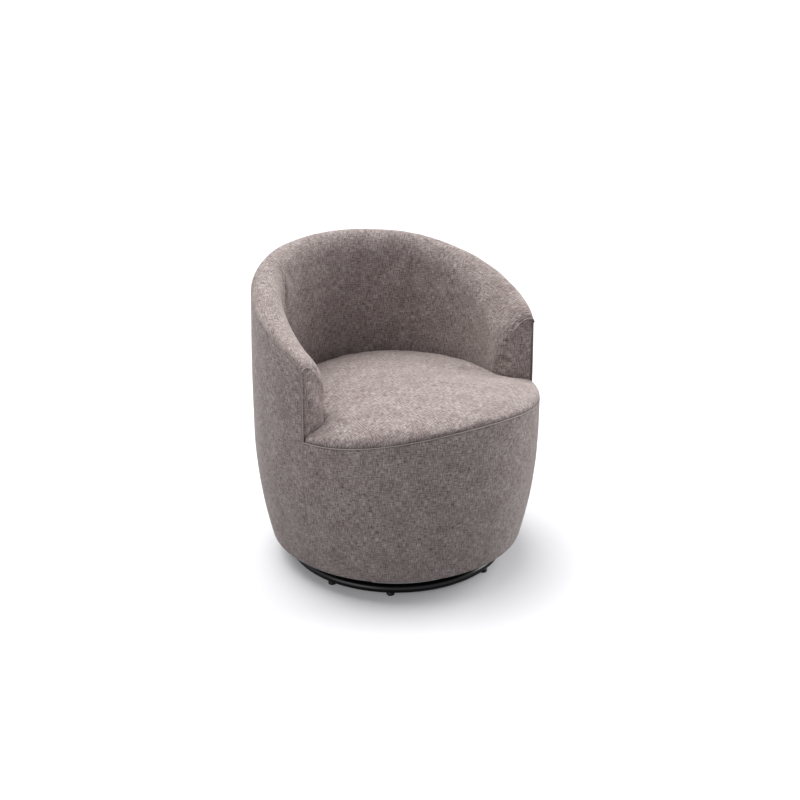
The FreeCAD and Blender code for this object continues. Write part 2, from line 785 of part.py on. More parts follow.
def nose_share(angle):
    """How far an arm's front has rounded off: 0 on the arm, 1 at the outer seam."""
    start, end = size("wall_end"), size("arm_end")
    part = min(max((abs(angle) - start) / (end - start), 0), 1)
    return 1 - math.sqrt(1 - part ** 2)


def crest(angle):
    """Height of the padded rim."""
    return rim_height(abs(angle)) - size("arm_front_drop") * nose_share(angle)


def inside_radius(angle):
    """Inner radius of the padded wall, which grows where an arm's front rounds off."""
    return size("arm_inside") + size("roll_inside - skin") * nose_share(angle)


def outer_seam(angle):
    """Height of the seam on the outside of the rolled rim."""
    return crest(angle) - size("roll_outside")


def front_seam(angle):
    """Height of the seam between the seat and the front panel."""
    part = (from_back(angle) - size("arm_end")) / (180 - size("arm_end"))
    return size("seam_arm") + size("seam_rise") * (1 - math.cos(math.pi * part)) / 2


def widening():
    """How much further out a straight loft's corners lie than its middles."""
    steps = [
        size("2 * panel_seam / back_bands"),
        size("(wall_end - panel_seam) / arm_bands"),
        size("2 * (180 - arm_end - seam_gap) / front_bands"),
    ]
    return 1 / math.cos(math.radians(max(steps) / 2))


def rolled(angle, inset, plain=False):
    """From the foot of the inner face up over the rolled rim to the outer seam."""
    foot = size("rail_level + rail_thick")
    inner = inside_radius(angle) + inset
    top = crest(angle) - inset
    seam = outer_seam(angle)
    outer = barrel(seam) - inset
    turn_in = size("arm_inside + roll_inside") - inner
    path = Path(inner, foot, plain).line(inner, top - turn_in)
    path.quarter((inner + turn_in, top), rises=True)
    path.line(outer - size("roll_outside") + inset, top)
    return path.quarter((outer, seam), rises=False)


def side(path, inset):
    """Add the way from a path's end down the barrel's side to the underside."""
    top = path.steps[-1][-1][1]
    widest, foot = size("barrel_level"), size("body_bottom - skin") + inset
    path.arc((barrel((top + widest) / 2) - inset, (top + widest) / 2), (barrel(widest) - inset, widest))
    path.arc((barrel((foot + widest) / 2) - inset, (foot + widest) / 2), (barrel(foot) - inset, foot))
    return path


def covered_side(top):
    """The outline of a fabric panel on the barrel's side, with its lip turned under."""
    lip = barrel(size("body_bottom")) - size("lip")
    skin = size("skin")
    outer = side(Path(barrel(top), top), 0).line(lip, size("body_bottom") - skin)
    inner = side(Path(barrel(top) - skin, top), skin).line(lip, size("body_bottom"))
    return outer.band(inner)


def padded_side(top, shoulder):
    """The outline of the padding between a fabric panel and the board behind it."""
    out = widening()
    foot = size("foot_radius + panel_thick + fit_play") * out
    board = size("board_radius + panel_thick + fit_play") * out
    path = side(Path(barrel(top) - size("skin"), top, plain=True), size("skin"))
    path.line(foot, size("body_bottom")).line(board, size("kink_level"))
    return path.line(board, shoulder)


def kinked_board(top):
    """The outline of a thin board that leans out from the bottom and then stands upright."""
    out, thick = widening(), size("panel_thick")
    foot, board = size("foot_radius"), size("board_radius")
    path = Path(foot * out, size("body_bottom")).line((foot + thick) * out, size("body_bottom"))
    path.line((board + thick) * out, size("kink_level")).line((board + thick) * out, top)
    return path.line(board * out, top).line(board * out, size("kink_level"))


def back_boards():
    """The boards outside and inside the ribs, and the laminated rail on top of them."""
    gap = size("fit_play")
    foot = size("rail_level + rail_thick")
    near = size("rib_inside - fit_play - panel_thick")

    def inner(angle):
        top = crest(angle) - size("rim_cover") - gap
        return Path(near, foot).line(near + size("panel_thick"), foot).line(near + size("panel_thick"), top).line(near, top)

    def rail(angle):
        top = crest(angle) - size("rim_cover")
        low = top - size("cap_high")
        outer = size("board_radius - fit_play") * widening()
        return Path(size("rib_inside"), low).line(outer, low).line(outer, top).line(size("rib_inside"), top)

    round_wall("outer_board", arm_angles(), lambda angle: kinked_board(outer_seam(angle) - gap))
    round_wall("inner_board", arm_angles(), inner)
    round_wall("top_rail", arm_angles(), rail)


def back_padding():
    """Foam over the inner board and the rim, and wadding on the outer board."""
    near = size("rib_inside - 2 * fit_play - panel_thick")
    foot = size("rail_level + rail_thick")
    board = size("board_radius") * widening()

    def inner(angle):
        under = crest(angle) - size("rim_cover")
        path = rolled(angle, size("skin"), plain=True)
        path.line(board, outer_seam(angle)).line(board, under)
        return path.line(near, under).line(near, foot)

    def outer(angle):
        top = outer_seam(angle) - size("fit_play")
        return padded_side(top, top)

    round_wall("back_foam", arm_angles(), inner)
    round_wall("outer_wadding", arm_angles(), outer)


def back_covers():
    """Three fabric panels inside and over the rim, one outside, and the arms' padded fronts."""
    angles, seam = arm_angles(), size("panel_seam")

    def inner(angle):
        return rolled(angle, 0).band(rolled(angle, size("skin")))

    def nose(angle):
        out = widening()
        seam, board = outer_seam(angle), size("board_radius + panel_thick + fit_play") * out
        path = side(rolled(angle, 0).line(barrel(seam) - size("skin"), seam), size("skin"))
        path.line(size("foot_radius + panel_thick + fit_play") * out, size("body_bottom"))
        return path.line(board, size("kink_level")).line(board, size("rail_level + rail_thick"))

    def outer(angle):
        return covered_side(outer_seam(angle) - size("fit_play"))

    slack = 1e-6
    round_wall("inner_arm_cover_left", [a for a in angles if a < -seam + slack], inner)
    round_wall("inner_back_cover", [a for a in angles if abs(a) < seam + slack], inner)
    round_wall("inner_arm_cover_right", [a for a in angles if a > seam - slack], inner)
    round_wall("outer_cover", wall_angles(), outer)
    round_wall("arm_front_left", [-angle for angle in reversed(nose_angles())], nose)
    round_wall("arm_front_right", nose_angles(), nose)


def front_panel():
    """The board, wadding and fabric below the seat's front seam."""
    gap, rail_top = size("fit_play"), size("rail_level + rail_thick")
    round_wall("front_board", front_angles(), lambda angle: kinked_board(rail_top))
    round_wall(
        "front_wadding",
        front_angles(),
        lambda angle: padded_side(front_seam(angle) - gap, rail_top + gap),
    )
    round_wall("front_cover", front_angles(), lambda angle: covered_side(front_seam(angle) - gap))


def crown(x, y):
    """Height of the seat's crown: it falls off along an arc each way from its highest point."""
    across, along = size("crown_across"), size("crown_along")
    ahead = y + size("crown_forward")
    fall_across = across - math.sqrt(across ** 2 - x ** 2)
    fall_along = along - math.sqrt(along ** 2 - ahead ** 2)
    return size("crown_level") - fall_across - fall_along


def under_crown(lowered):
    """A block whose top is the crown: a straight loft through arched sections across the seat."""
    reach, step = size("barrel_radius"), size("crown_step")
    sections = []
    for i in range(int(math.ceil(2 * reach / step)) + 1):
        y = i * step - reach
        ends = [V(side * reach, y, crown(reach, y) - lowered) for side in (-1, 1)]
        arch = Part.Arc(ends[0], V(0, y, crown(0, y) - lowered), ends[1]).toShape()
        feet = [V(reach, y, 0), V(-reach, y, 0)]
        sections.append(Part.Wire([arch] + Part.makePolygon([ends[1]] + feet + [ends[0]]).Edges))
    return Part.makeLoft(sections, True, True)


class SeatStation:
    """One section of the seat's edge, in an upright plane through the seat's middle."""

    def __init__(self, angle, radius):
        self.middle = V(0, -size("seat_middle"), 0)
        rim = V(radius * math.sin(math.radians(angle)), radius * math.cos(math.radians(angle)), 0)
        self.reach = (rim - self.middle).Length
        self.way = (rim - self.middle) / self.reach
        self.turn = size("seat_shoulder")
        centre = self.reach - self.turn
        self.slope = math.atan((self.level(centre) - self.level(centre + 1)))
        self.shoulder = self.level(centre + self.turn * math.sin(self.slope)) - self.turn * math.cos(self.slope)

    def point(self, far, high):
        """A place in this station's plane."""
        return self.middle + self.way * far + UP * high

    def level(self, far):
        """Height of the crown in this station's plane."""
        place_on = self.point(far, 0)
        return crown(place_on.x, place_on.y)

    def round_point(self, turn, radius):
        """A place on the rounded edge, turned up from its lower end."""
        return (
            self.reach - self.turn + radius * math.cos(turn),
            self.shoulder + radius * math.sin(turn),
        )

    def top(self, inset, plain=False):
        """From the crown over the rounded edge down to its lower end."""
        near, radius = self.inner(), self.turn - inset
        start = math.pi / 2 - self.slope
        path = Path(near, self.level(near) - inset, plain).line(*self.round_point(start, radius))
        path.arc(self.round_point(start / 2, radius), self.round_point(0, radius))
        return path.line(self.reach - inset, self.edge)

    def inner(self):
        """How far out the crown's middle reaches in this plane."""
        return self.reach - 2 * self.turn

    def cover(self):
        return self.top(0).band(self.top(size("skin"))).wire(self.point)

    def foam(self, foot):
        """The padding's section; it runs on below the foot and is cut off there."""
        below = foot - self.turn
        slant = self.lean * (self.edge - below) / (self.edge - foot)
        path = self.top(size("skin"), plain=True).line(self.reach - size("skin") - slant, below)
        return path.line(self.inner(), below).wire(self.point)


class FrontStation(SeatStation):
    """A section at the front, where the seat ends at the seam above the front panel."""

    def __init__(self, angle):
        self.edge = front_seam(angle)
        self.lean = size("barrel_radius - board_radius")
        super().__init__(angle, barrel(self.edge))


class InnerStation(SeatStation):
    """A section between the arms, where the seat's edge is tucked down inside the wall."""

    def __init__(self, angle, wall_angle):
        self.edge = size("seat_tuck")
        self.lean = size("fit_play")
        super().__init__(angle, inside_radius(wall_angle) - 2 * size("fit_play"))


def seat_stations():
    """Sections all round the seat: between the arms, round their fronts and along the front."""
    inner_angles = [angle for angle in wall_angles() if angle >= 0][:-1]
    end, seam = size("arm_end"), size("arm_end + seam_gap / 2")
    right = [InnerStation(angle, angle) for angle in inner_angles] + [InnerStation(seam, end)]
    left = [InnerStation(-seam, end)]
    left += [InnerStation(-angle, angle) for angle in reversed(inner_angles) if angle > 0]
    return right + [FrontStation(angle) for angle in front_angles()] + left


def seat():
    """The seat's foam and its fabric: a crowned middle joined to a rounded edge all round."""
    stations, skin = seat_stations(), size("skin")
    foot = size("rail_level + rail_thick + 2 * strap_thick + cloth_thick")
    corners = [station.point(station.inner(), foot - size("seat_shoulder")) for station in stations]
    middle = Part.Face(Part.makePolygon(corners + corners[:1])).extrude(UP * size("crown_level"))
    padding, below_cover = under_crown(skin), under_crown(0)
    waste = Part.makeBox(1000, 1000, 100, V(-500, -500, foot - 100))

    foam_edge = [station.foam(foot) for station in stations]
    foam = Part.makeLoft(foam_edge + foam_edge[:1], True, True)
    foam = foam.fuse(middle.common(padding)).cut(waste)
    cover_edge = [station.cover() for station in stations]
    cover = Part.makeLoft(cover_edge + cover_edge[:1], True, True)
    cover = cover.fuse(middle.common(below_cover).cut(padding))
    for name, shape in (("seat_foam", foam), ("seat_cover", cover)):
        made = doc.addObject("Part::Feature", name)
        made.Shape = shape.removeSplitter()
        node(made, name)


def build():
    """Make every piece from the floor up."""
    ring = base_ring()
    base_glides()
    cross_bars(ring)
    swivel_plate("swivel_lower_plate", faces_up=True)
    swivel_plate("swivel_upper_plate", faces_up=False)
    at_fixings("base_bolts", bolt_down, LOWER_TOP, on_base=True)
    at_fixings("base_weld_nuts", weld_nut, BAR_TOP + " - bar_wall - nut_high", on_base=True)
    at_fixings("seat_bolts", bolt_up, UPPER_UNDER, on_base=False)
    at_fixings("tee_nuts", tee_nut, "body_bottom + board_thick", on_base=False)
    pivot()
    pivot_bush()
    bearing()
    bottom_board()
    dust_cover()
    ribs()
    seat_rail()
    front_rail()
    webbing()
    back_boards()
    back_padding()
    back_covers()
    front_panel()
    seat()


def check():
    """Stop if any object failed or any node is not a sound solid."""
    doc.recompute()
    for item in doc.Objects:
        if "Invalid" in item.State or "Error" in item.State:
            raise RuntimeError("%s failed: %s" % (item.Name, item.State))
    for item in NODES:
        shape = item.Shape
        if shape.isNull() or not shape.isValid() or not shape.Solids:
            raise RuntimeError("%s is not a sound solid" % item.Label)


def write():
    os.makedirs("parts", exist_ok=True)
    for item in NODES:
        item.Shape.exportStep("parts/%s.step" % item.Label)
        print("%-24s %3d solids %12.1f mm3" % (item.Label, len(item.Shape.Solids), item.Shape.Volume))


build()
check()
write()
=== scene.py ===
"""Looks of the swivel barrel chair, built around its packed construction model."""

import json
import logging
import math
from dataclasses import dataclass
from enum import Enum
from functools import partial
from typing import Callable, Sequence

import bmesh
import bpy
from mathutils import Matrix, Vector, noise


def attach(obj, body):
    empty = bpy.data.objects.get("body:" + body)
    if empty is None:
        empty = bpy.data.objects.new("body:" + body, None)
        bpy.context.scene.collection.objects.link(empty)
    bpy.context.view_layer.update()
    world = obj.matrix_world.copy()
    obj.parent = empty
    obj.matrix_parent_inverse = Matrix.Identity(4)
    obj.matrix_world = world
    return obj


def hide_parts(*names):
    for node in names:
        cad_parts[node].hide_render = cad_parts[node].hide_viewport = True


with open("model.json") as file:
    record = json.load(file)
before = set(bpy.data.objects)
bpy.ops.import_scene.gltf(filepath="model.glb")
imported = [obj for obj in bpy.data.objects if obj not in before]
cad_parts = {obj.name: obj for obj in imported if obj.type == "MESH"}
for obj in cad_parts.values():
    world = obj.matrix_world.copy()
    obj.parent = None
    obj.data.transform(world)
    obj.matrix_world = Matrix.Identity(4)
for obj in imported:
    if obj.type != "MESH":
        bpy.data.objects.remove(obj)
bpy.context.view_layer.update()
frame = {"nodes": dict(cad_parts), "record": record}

LOG = logging.getLogger("barrel_chair")
MM = 0.001
PRESSURE = 4.0  # of the cloth simulations
Surface = Callable[[float, float], tuple[Vector, tuple[float, float]]]


# Small helpers for colours, nodes and objects


def linear(code: str, alpha: float = 1.0) -> tuple[float, float, float, float]:
    """Turn an sRGB hex colour into Blender's linear colour.

    Args:
        code: six hex digits.
        alpha: opacity.

    Returns:
        Red, green, blue and alpha.
    """
    parts = [int(code[i : i + 2], 16) / 255 for i in (0, 2, 4)]
    tones = [p / 12.92 if p <= 0.04045 else ((p + 0.055) / 1.055) ** 2.4 for p in parts]
    return (tones[0], tones[1], tones[2], alpha)


def add_node(
    tree: bpy.types.NodeTree, kind: str, inputs: dict | None = None, **settings: object
) -> bpy.types.Node:
    """Add a shader node with its settings, values and links.

    Args:
        tree: the material's node tree.
        kind: the node's type without the word ShaderNode.
        inputs: socket name or index to a value or to an output socket.
        settings: attributes of the node.

    Returns:
        The node.
    """
    node = tree.nodes.new("ShaderNode" + kind)
    for name, value in settings.items():
        setattr(node, name, value)
    for key, value in (inputs or {}).items():
        if isinstance(value, bpy.types.NodeSocket):
            tree.links.new(value, node.inputs[key])
        else:
            node.inputs[key].default_value = value
    return node


def set_ramp(node: bpy.types.Node, stops: Sequence[tuple[float, tuple]]) -> None:
    """Give a colour ramp its stops.

    Args:
        node: the colour ramp.
        stops: position and colour of each stop, in order.
    """
    ramp = node.color_ramp
    while len(ramp.elements) < len(stops):
        ramp.elements.new(1.0)
    for element, (position, colour) in zip(ramp.elements, stops):
        element.position = position
        element.color = colour


def new_material(name: str) -> tuple[bpy.types.Material, bpy.types.NodeTree, bpy.types.Node]:
    """Make an empty material with its output.

    Args:
        name: the finish's name.

    Returns:
        The material, its tree and its output node.
    """
    material = bpy.data.materials.new(name)
    material.use_nodes = True
    tree = material.node_tree
    tree.nodes.clear()
    return material, tree, add_node(tree, "OutputMaterial")


def shade(data: bpy.types.Mesh, smooth: bool = True) -> None:
    """Shade every face of a mesh smooth, or every face flat."""
    data.polygons.foreach_set("use_smooth", [smooth] * len(data.polygons))


def to_object(mesh: bmesh.types.BMesh, name: str, smooth: bool = True) -> bpy.types.Object:
    """Turn a bmesh into an object at the origin.

    Args:
        mesh: the finished bmesh, which is freed.
        name: the piece's name.
        smooth: whether its faces are shaded smooth.

    Returns:
        The object.
    """
    data = bpy.data.meshes.new(name)
    mesh.to_mesh(data)
    mesh.free()
    shade(data, smooth)
    made = bpy.data.objects.new(name, data)
    bpy.context.scene.collection.objects.link(made)
    return made


def add_modifier(piece: bpy.types.Object, kind: str, **settings: object) -> bpy.types.Modifier:
    """Add a modifier with its settings.

    Args:
        piece: the object.
        kind: the modifier's type.
        settings: its attributes.

    Returns:
        The modifier.
    """
    modifier = piece.modifiers.new(kind.title(), kind)
    for name, value in settings.items():
        setattr(modifier, name, value)
    return modifier


def apply_modifiers(piece: bpy.types.Object) -> None:
    """Turn a piece's modifiers into its mesh.

    Args:
        piece: the object.
    """
    graph = bpy.context.evaluated_depsgraph_get()
    made = bpy.data.meshes.new_from_object(piece.evaluated_get(graph))
    piece.modifiers.clear()
    old, piece.data = piece.data, made
    bpy.data.meshes.remove(old)


# Finishes


class Coordinates(Enum):
    """Where a pattern takes its coordinates from."""

    SURFACE = "UV"
    SPACE = "Object"


@dataclass(frozen=True)
class WovenFabric:
    """Chenille cloth: a dark ground with short light slubs that run both ways.

    The threads of such cloth are too fine to show in the render, so they are drawn coarser.
    """

    name: str = "taupe chenille"
    shade: str = "5f5451"
    ground: str = "a09390"
    slub: str = "d6ccc6"
    thread_mm: float = 1.7
    slub_mm: float = 15.0
    patch_mm: float = 45.4545
    coordinates: Coordinates = Coordinates.SURFACE

    def material(self) -> bpy.types.Material:
        """Build the cloth's material.

        Returns:
            The material, with its colour, weave relief and sheen.
        """
        material, tree, output = new_material(self.name)
        start = add_node(tree, "TexCoord").outputs[self.coordinates.value]
        fine, long = 1 / (self.thread_mm * MM), 1 / (self.slub_mm * MM)
        threads = []
        for across, along, seed in ((fine, long, 0.0), (long, fine, 7.3)):
            stretched = add_node(
                tree,
                "Mapping",
                {"Vector": start, "Scale": (across, along, fine), "Location": (seed, seed, 0)},
            ).outputs[0]
            threads.append(
                add_node(
                    tree,
                    "TexNoise",
                    {"Vector": stretched, "Scale": 1.0, "Detail": 3.0, "Roughness": 0.62},
                ).outputs["Fac"]
            )
        mixed = add_node(
            tree, "Math", {0: threads[0], 1: threads[1]}, operation="ADD"
        ).outputs[0]
        half = add_node(tree, "Math", {0: mixed, 1: 0.5}, operation="MULTIPLY").outputs[0]
        colour = add_node(tree, "ValToRGB", {"Fac": half})
        set_ramp(
            colour,
            [(0.37, linear(self.shade)), (0.5, linear(self.ground)), (0.63, linear(self.slub))],
        )
        patch = 1 / (self.patch_mm * MM)
        patches = add_node(
            tree, "TexNoise", {"Vector": start, "Scale": patch, "Detail": 4.0, "Roughness": 0.55}
        ).outputs["Fac"]
        patch_tone = add_node(tree, "ValToRGB", {"Fac": patches})
        set_ramp(patch_tone, [(0.3, linear("e0dcdb")), (0.7, linear("ffffff"))])
        toned = add_node(
            tree,
            "Mix",
            {0: 1.0, 6: colour.outputs[0], 7: patch_tone.outputs[0]},
            data_type="RGBA",
            blend_type="MULTIPLY",
        ).outputs[2]
        relief = add_node(
            tree, "Bump", {"Height": half, "Strength": 0.55, "Distance": 1.6 * MM}
        ).outputs[0]
        shader = add_node(
            tree,
            "BsdfPrincipled",
            {
                "Base Color": toned,
                "Roughness": 0.88,
                "IOR": 1.5,
                "Specular IOR Level": 0.25,
                "Sheen Weight": 0.35,
                "Sheen Roughness": 0.45,
                "Sheen Tint": linear("f3ece6"),
                "Normal": relief,
            },
        )
        tree.links.new(shader.outputs[0], output.inputs[0])
        return material


@dataclass(frozen=True)
class SpeckledFinish:
    """A finish with one main colour, a slight speckle and a fine relief.

    Grain that is much finer than a millimetre wouldn't show, so it is drawn at about a millimetre.
    """

    name: str
    dark: str
    light: str
    roughness: float = 0.5
    metallic: float = 0.0
    grain_mm: tuple[float, float, float] = (2.0, 2.0, 2.0)
    relief_mm: float = 0.05
    coat: float = 0.0
    ior: float = 1.5
    coordinates: Coordinates = Coordinates.SPACE

    def material(self) -> bpy.types.Material:
        """Build the finish's material.

        Returns:
            The material.
        """
        material, tree, output = new_material(self.name)
        place = add_node(tree, "TexCoord").outputs[self.coordinates.value]
        scale = tuple(1 / (grain * MM) for grain in self.grain_mm)
        stretched = add_node(tree, "Mapping", {"Vector": place, "Scale": scale}).outputs[0]
        grain = add_node(
            tree, "TexNoise", {"Vector": stretched, "Scale": 1.0, "Detail": 4.0, "Roughness": 0.6}
        ).outputs["Fac"]
        colour = add_node(tree, "ValToRGB", {"Fac": grain})
        set_ramp(colour, [(0.3, linear(self.dark)), (0.7, linear(self.light))])
        relief = add_node(
            tree, "Bump", {"Height": grain, "Strength": 0.4, "Distance": self.relief_mm * MM}
        ).outputs[0]
        shader = add_node(
            tree,
            "BsdfPrincipled",
            {
                "Base Color": colour.outputs[0],
                "Roughness": self.roughness,
                "Metallic": self.metallic,
                "IOR": self.ior,
                "Coat Weight": self.coat,
                "Coat Roughness": 0.12,
                "Normal": relief,
            },
        )
        tree.links.new(shader.outputs[0], output.inputs[0])
        return material


# Gloss powder coat: a fine orange peel under a clear shine.
POWDER_COAT = SpeckledFinish(
    "gloss black powder coat", "08080a", "0e0e11", 0.32, grain_mm=(1.5, 1.5, 1.5), coat=0.5
)
# Bright zinc plate: a cool metal with a faint cloudy passivation.
ZINC = SpeckledFinish("bright zinc plate", "a9adb0", "c6c8c4", 0.34, 1.0, (4.0, 4.0, 4.0))
# Ground steel: even and bright, with a faint grain.
GROUND_STEEL = SpeckledFinish("ground steel", "b4b6b8", "cccdce", 0.18, 1.0, (0.8, 0.8, 6.0))
# Birch plywood: pale, with a grain stretched along the sheet.
PLYWOOD = SpeckledFinish("sanded birch plywood", "b98f5e", "d9b888", 0.62, 0.0, (40.0, 3.0, 1.2))
# Fibreboard: brown, even, with short fibres.
FIBREBOARD = SpeckledFinish("bent fibreboard", "6b4a30", "8d6a49", 0.7, 0.0, (1.5, 1.5, 3.0))
# Elastic webbing: black with a pale rib every few millimetres.
WEBBING = SpeckledFinish("woven elastic webbing", "121212", "2b2b2b", 0.85, 0.0, (1.2, 5.0, 1.2))
# Non-woven cloth: a thin black felt.
BLACK_CLOTH = SpeckledFinish(
    "black non-woven cloth", "0d0d0d", "1c1c1d", 0.95, 0.0, (1.0, 1.0, 1.0)
)
# Natural nylon: milky and faintly mottled.
NATURAL_NYLON = SpeckledFinish("natural nylon", "cfc8b4", "e2dccb", 0.42, 0.0, (9.0, 9.0, 9.0))
# Black nylon: matt, from a textured mould.
BLACK_NYLON = SpeckledFinish("black nylon", "101010", "1a1a1a", 0.5, 0.0, (0.9, 0.9, 0.9))
# Polyurethane foam: cream, open cells.
FOAM = SpeckledFinish("upholstery foam", "d8cd9a", "eee6bd", 0.95, 0.0, (1.4, 1.4, 1.4), 0.4)
# Polyester wadding: white, soft and fibrous.
WADDING = SpeckledFinish("polyester wadding", "dcdcd8", "f4f4f2", 0.95, 0.0, (6.0, 6.0, 2.0), 0.4)


# The chair's form


@dataclass(frozen=True)
class BarrelForm:
    """The body's driving sizes, in metres and degrees, with angles from the back (+Y) to +X.

    The barrel, the rim's line and the seams are the construction model's. The padding is not:
    here the arms are fuller and their rolls differ, as the photograph shows them.
    """

    radius: float = 0.325
    widest: float = 0.320
    lower_curve: float = 1.080
    upper_curve: float = 7.600
    underside: float = 0.0544
    board_underside: float = 0.056
    lip: float = 0.026
    inside: float = 0.262
    roll_back: float = 0.052
    roll_arm: float = 0.092
    roll_outside: float = 0.022
    roll_front: float = 0.009
    tall_from: float = 50.0
    tight_from: float = 55.0
    fullness: float = 0.024
    full_from: float = 38.0
    full_to: float = 98.0
    nose_start: float = 103.0
    nose_in: float = 0.018
    skin: float = 0.0016
    rim_back: float = 0.695
    rim_side: float = 0.628
    rim_side_y: float = 0.083
    rim_front: float = 0.549
    front_drop: float = 0.012
    wall_end: float = 104.0
    arm_end: float = 110.0
    seam_gap: float = 0.3
    panel_seam: float = 41.0
    seam_arm: float = 0.374
    seam_rise: float = 0.040
    tuck: float = 0.335
    closing: float = 10.0
    bulge: float = 0.8
    bulge_power: float = 0.8

    def side(self, level: float) -> float:
        """The body's outer radius at a height."""
        curve = self.lower_curve if level < self.widest else self.upper_curve
        return self.radius - curve + math.sqrt(curve**2 - (level - self.widest) ** 2)

    def rim(self, angle: float) -> float:
        """The rim's height: in side view an arc through its heights at the back, side and front.

        Args:
            angle: degrees from the back.

        Returns:
            The height in metres.
        """
        front_y = self.radius * math.cos(math.radians(self.arm_end))
        ends = [
            Vector((self.radius, self.rim_back)),
            Vector((self.rim_side_y, self.rim_side)),
            Vector((front_y, self.rim_front)),
        ]
        first, second = ends[1] - ends[0], ends[2] - ends[0]
        cross = 2 * (first.x * second.y - first.y * second.x)
        centre_x = (second.y * first.length_squared - first.y * second.length_squared) / cross
        centre_y = (first.x * second.length_squared - second.x * first.length_squared) / cross
        radius = math.hypot(centre_x, centre_y)
        along = self.radius * math.cos(math.radians(angle)) - ends[0].x - centre_x
        return ends[0].y + centre_y + math.sqrt(radius**2 - along**2)

    def rounding(self, angle: float) -> float:
        """How far an arm's front has rounded off: 0 on the arm, 1 at its outer seam."""
        return quarter(portion(abs(angle), self.wall_end, self.arm_end))

    def closed(self, angle: float) -> float:
        """How far the flat of an arm's front has closed: 0 at its inner edge, 1 at its outer seam.

        Columns past the arm's end stand on this flat.
        """
        return portion(abs(angle), self.arm_end, self.arm_end + self.closing)

    def true_angle(self, angle: float) -> float:
        """The angle where a column really stands; the flat of an arm's front swells a little."""
        swell = self.bulge * math.sin(math.pi * self.closed(angle)) ** self.bulge_power
        return math.copysign(min(abs(angle), self.arm_end) + swell, angle)

    def crest(self, angle: float) -> float:
        """Height of the padded rim."""
        return self.rim(abs(angle)) - self.front_drop * self.rounding(angle)

    def inner(self, angle: float) -> float:
        """Find the padded wall's inner radius: the arms are fuller, and their fronts round off.

        Args:
            angle: degrees from the back.

        Returns:
            The radius in metres.
        """
        full = self.fullness * eased(angle, self.full_from, self.full_to)
        nose = quarter(portion(abs(angle), self.nose_start, self.arm_end))
        return self.inside - full + self.nose_in * nose

    def roll_tall(self, angle: float) -> float:
        """Height of the rim's inner rounding, which is longest at the arm fronts."""
        grown = eased(angle, self.tall_from, self.arm_end)
        return self.roll_back + (self.roll_arm - self.roll_back) * grown

    def outer_roll(self, angle: float) -> float:
        """Radius of the rim's outer roll, which tightens towards the arm fronts."""
        tightened = eased(angle, self.tight_from, self.arm_end)
        return self.roll_outside + (self.roll_front - self.roll_outside) * tightened

    def outer_seam(self, angle: float) -> float:
        """Height of the seam outside the rolled rim."""
        return self.crest(angle) - self.outer_roll(angle)

    def front_seam(self, angle: float) -> float:
        """Height of the seam between the seat and the front panel."""
        part = (min(angle % 360, 360 - angle % 360) - self.arm_end) / (180 - self.arm_end)
        return self.seam_arm + self.seam_rise * (1 - math.cos(math.pi * part)) / 2


def portion(value: float, start: float, end: float) -> float:
    """How far a value has gone from start to end: 0 before the start, 1 past the end."""
    return min(max((value - start) / (end - start), 0.0), 1.0)


def quarter(part: float) -> float:
    """Rise from 0 to 1 along a quarter of a circle, flat at first and steep at last."""
    return 1 - math.sqrt(1 - part**2)


def eased(angle: float, start: float, end: float) -> float:
    """Go smoothly from 0 at one angle to 1 at another, on both sides of the back."""
    part = portion(abs(angle), start, end)
    return part * part * (3 - 2 * part)


def polar(angle: float, radius: float, level: float) -> Vector:
    """A place at an angle from the back, a radius and a height."""
    turn = math.radians(angle)
    return Vector((radius * math.sin(turn), radius * math.cos(turn), level))


def from_axis(place: Vector) -> Vector:
    """The level direction from the body's axis to a place."""
    return Vector((place.x, place.y, 0))


def to_axis(place: Vector) -> Vector:
    """The level direction from a place to the body's axis."""
    return Vector((-place.x, -place.y, 0))


class Path:
    """Lines and arcs in a section plane, walked by length: distance from the axis, height."""

    def __init__(self, far: float, high: float) -> None:
        """Start the path at a point."""
        self.points: list[Vector] = [Vector((far, high))]

    def line(self, far: float, high: float) -> "Path":
        """Go straight to a point."""
        self.points.append(Vector((far, high)))
        return self

    def arc(
        self, centre: Vector, start: float, end: float, radii: Vector, steps: int = 14
    ) -> "Path":
        """Add an arc of an ellipse.

        Args:
            centre: its centre.
            start: angle in degrees where it begins.
            end: angle in degrees where it ends.
            radii: half its width and half its height.
            steps: chords that it is walked in.

        Returns:
            The path.
        """
        for i in range(1, steps + 1):
            turn = math.radians(start + (end - start) * i / steps)
            offset = Vector((radii.x * math.cos(turn), radii.y * math.sin(turn)))
            self.points.append(centre + offset)
        return self

    def length(self) -> float:
        """The path's whole length."""
        return sum((b - a).length for a, b in zip(self.points, self.points[1:]))

    def at(self, share: float) -> Vector:
        """Find the point at a share of the path's length.

        Args:
            share: 0 at the path's start, 1 at its end.

        Returns:
            The point.
        """
        left = share * self.length()
        for here, there in zip(self.points, self.points[1:]):
            step = (there - here).length
            if left <= step and step > 0:
                return here.lerp(there, left / step)
            left -= step
        return self.points[-1].copy()


def stations(start: float, end: float, count: int, edge: float, edge_count: int) -> list[float]:
    """Angles from start to end, closer together at both ends.

    Args:
        start: first angle.
        end: last angle.
        count: steps between the two edges.
        edge: width of each edge, in degrees.
        edge_count: steps in each edge.

    Returns:
        The angles.
    """
    edges = [edge * (1 - math.cos(math.pi / 2 * i / edge_count)) for i in range(edge_count)]
    middle = [start + edge + (end - start - 2 * edge) * i / count for i in range(count + 1)]
    return [start + e for e in edges] + middle + [end - e for e in reversed(edges)]


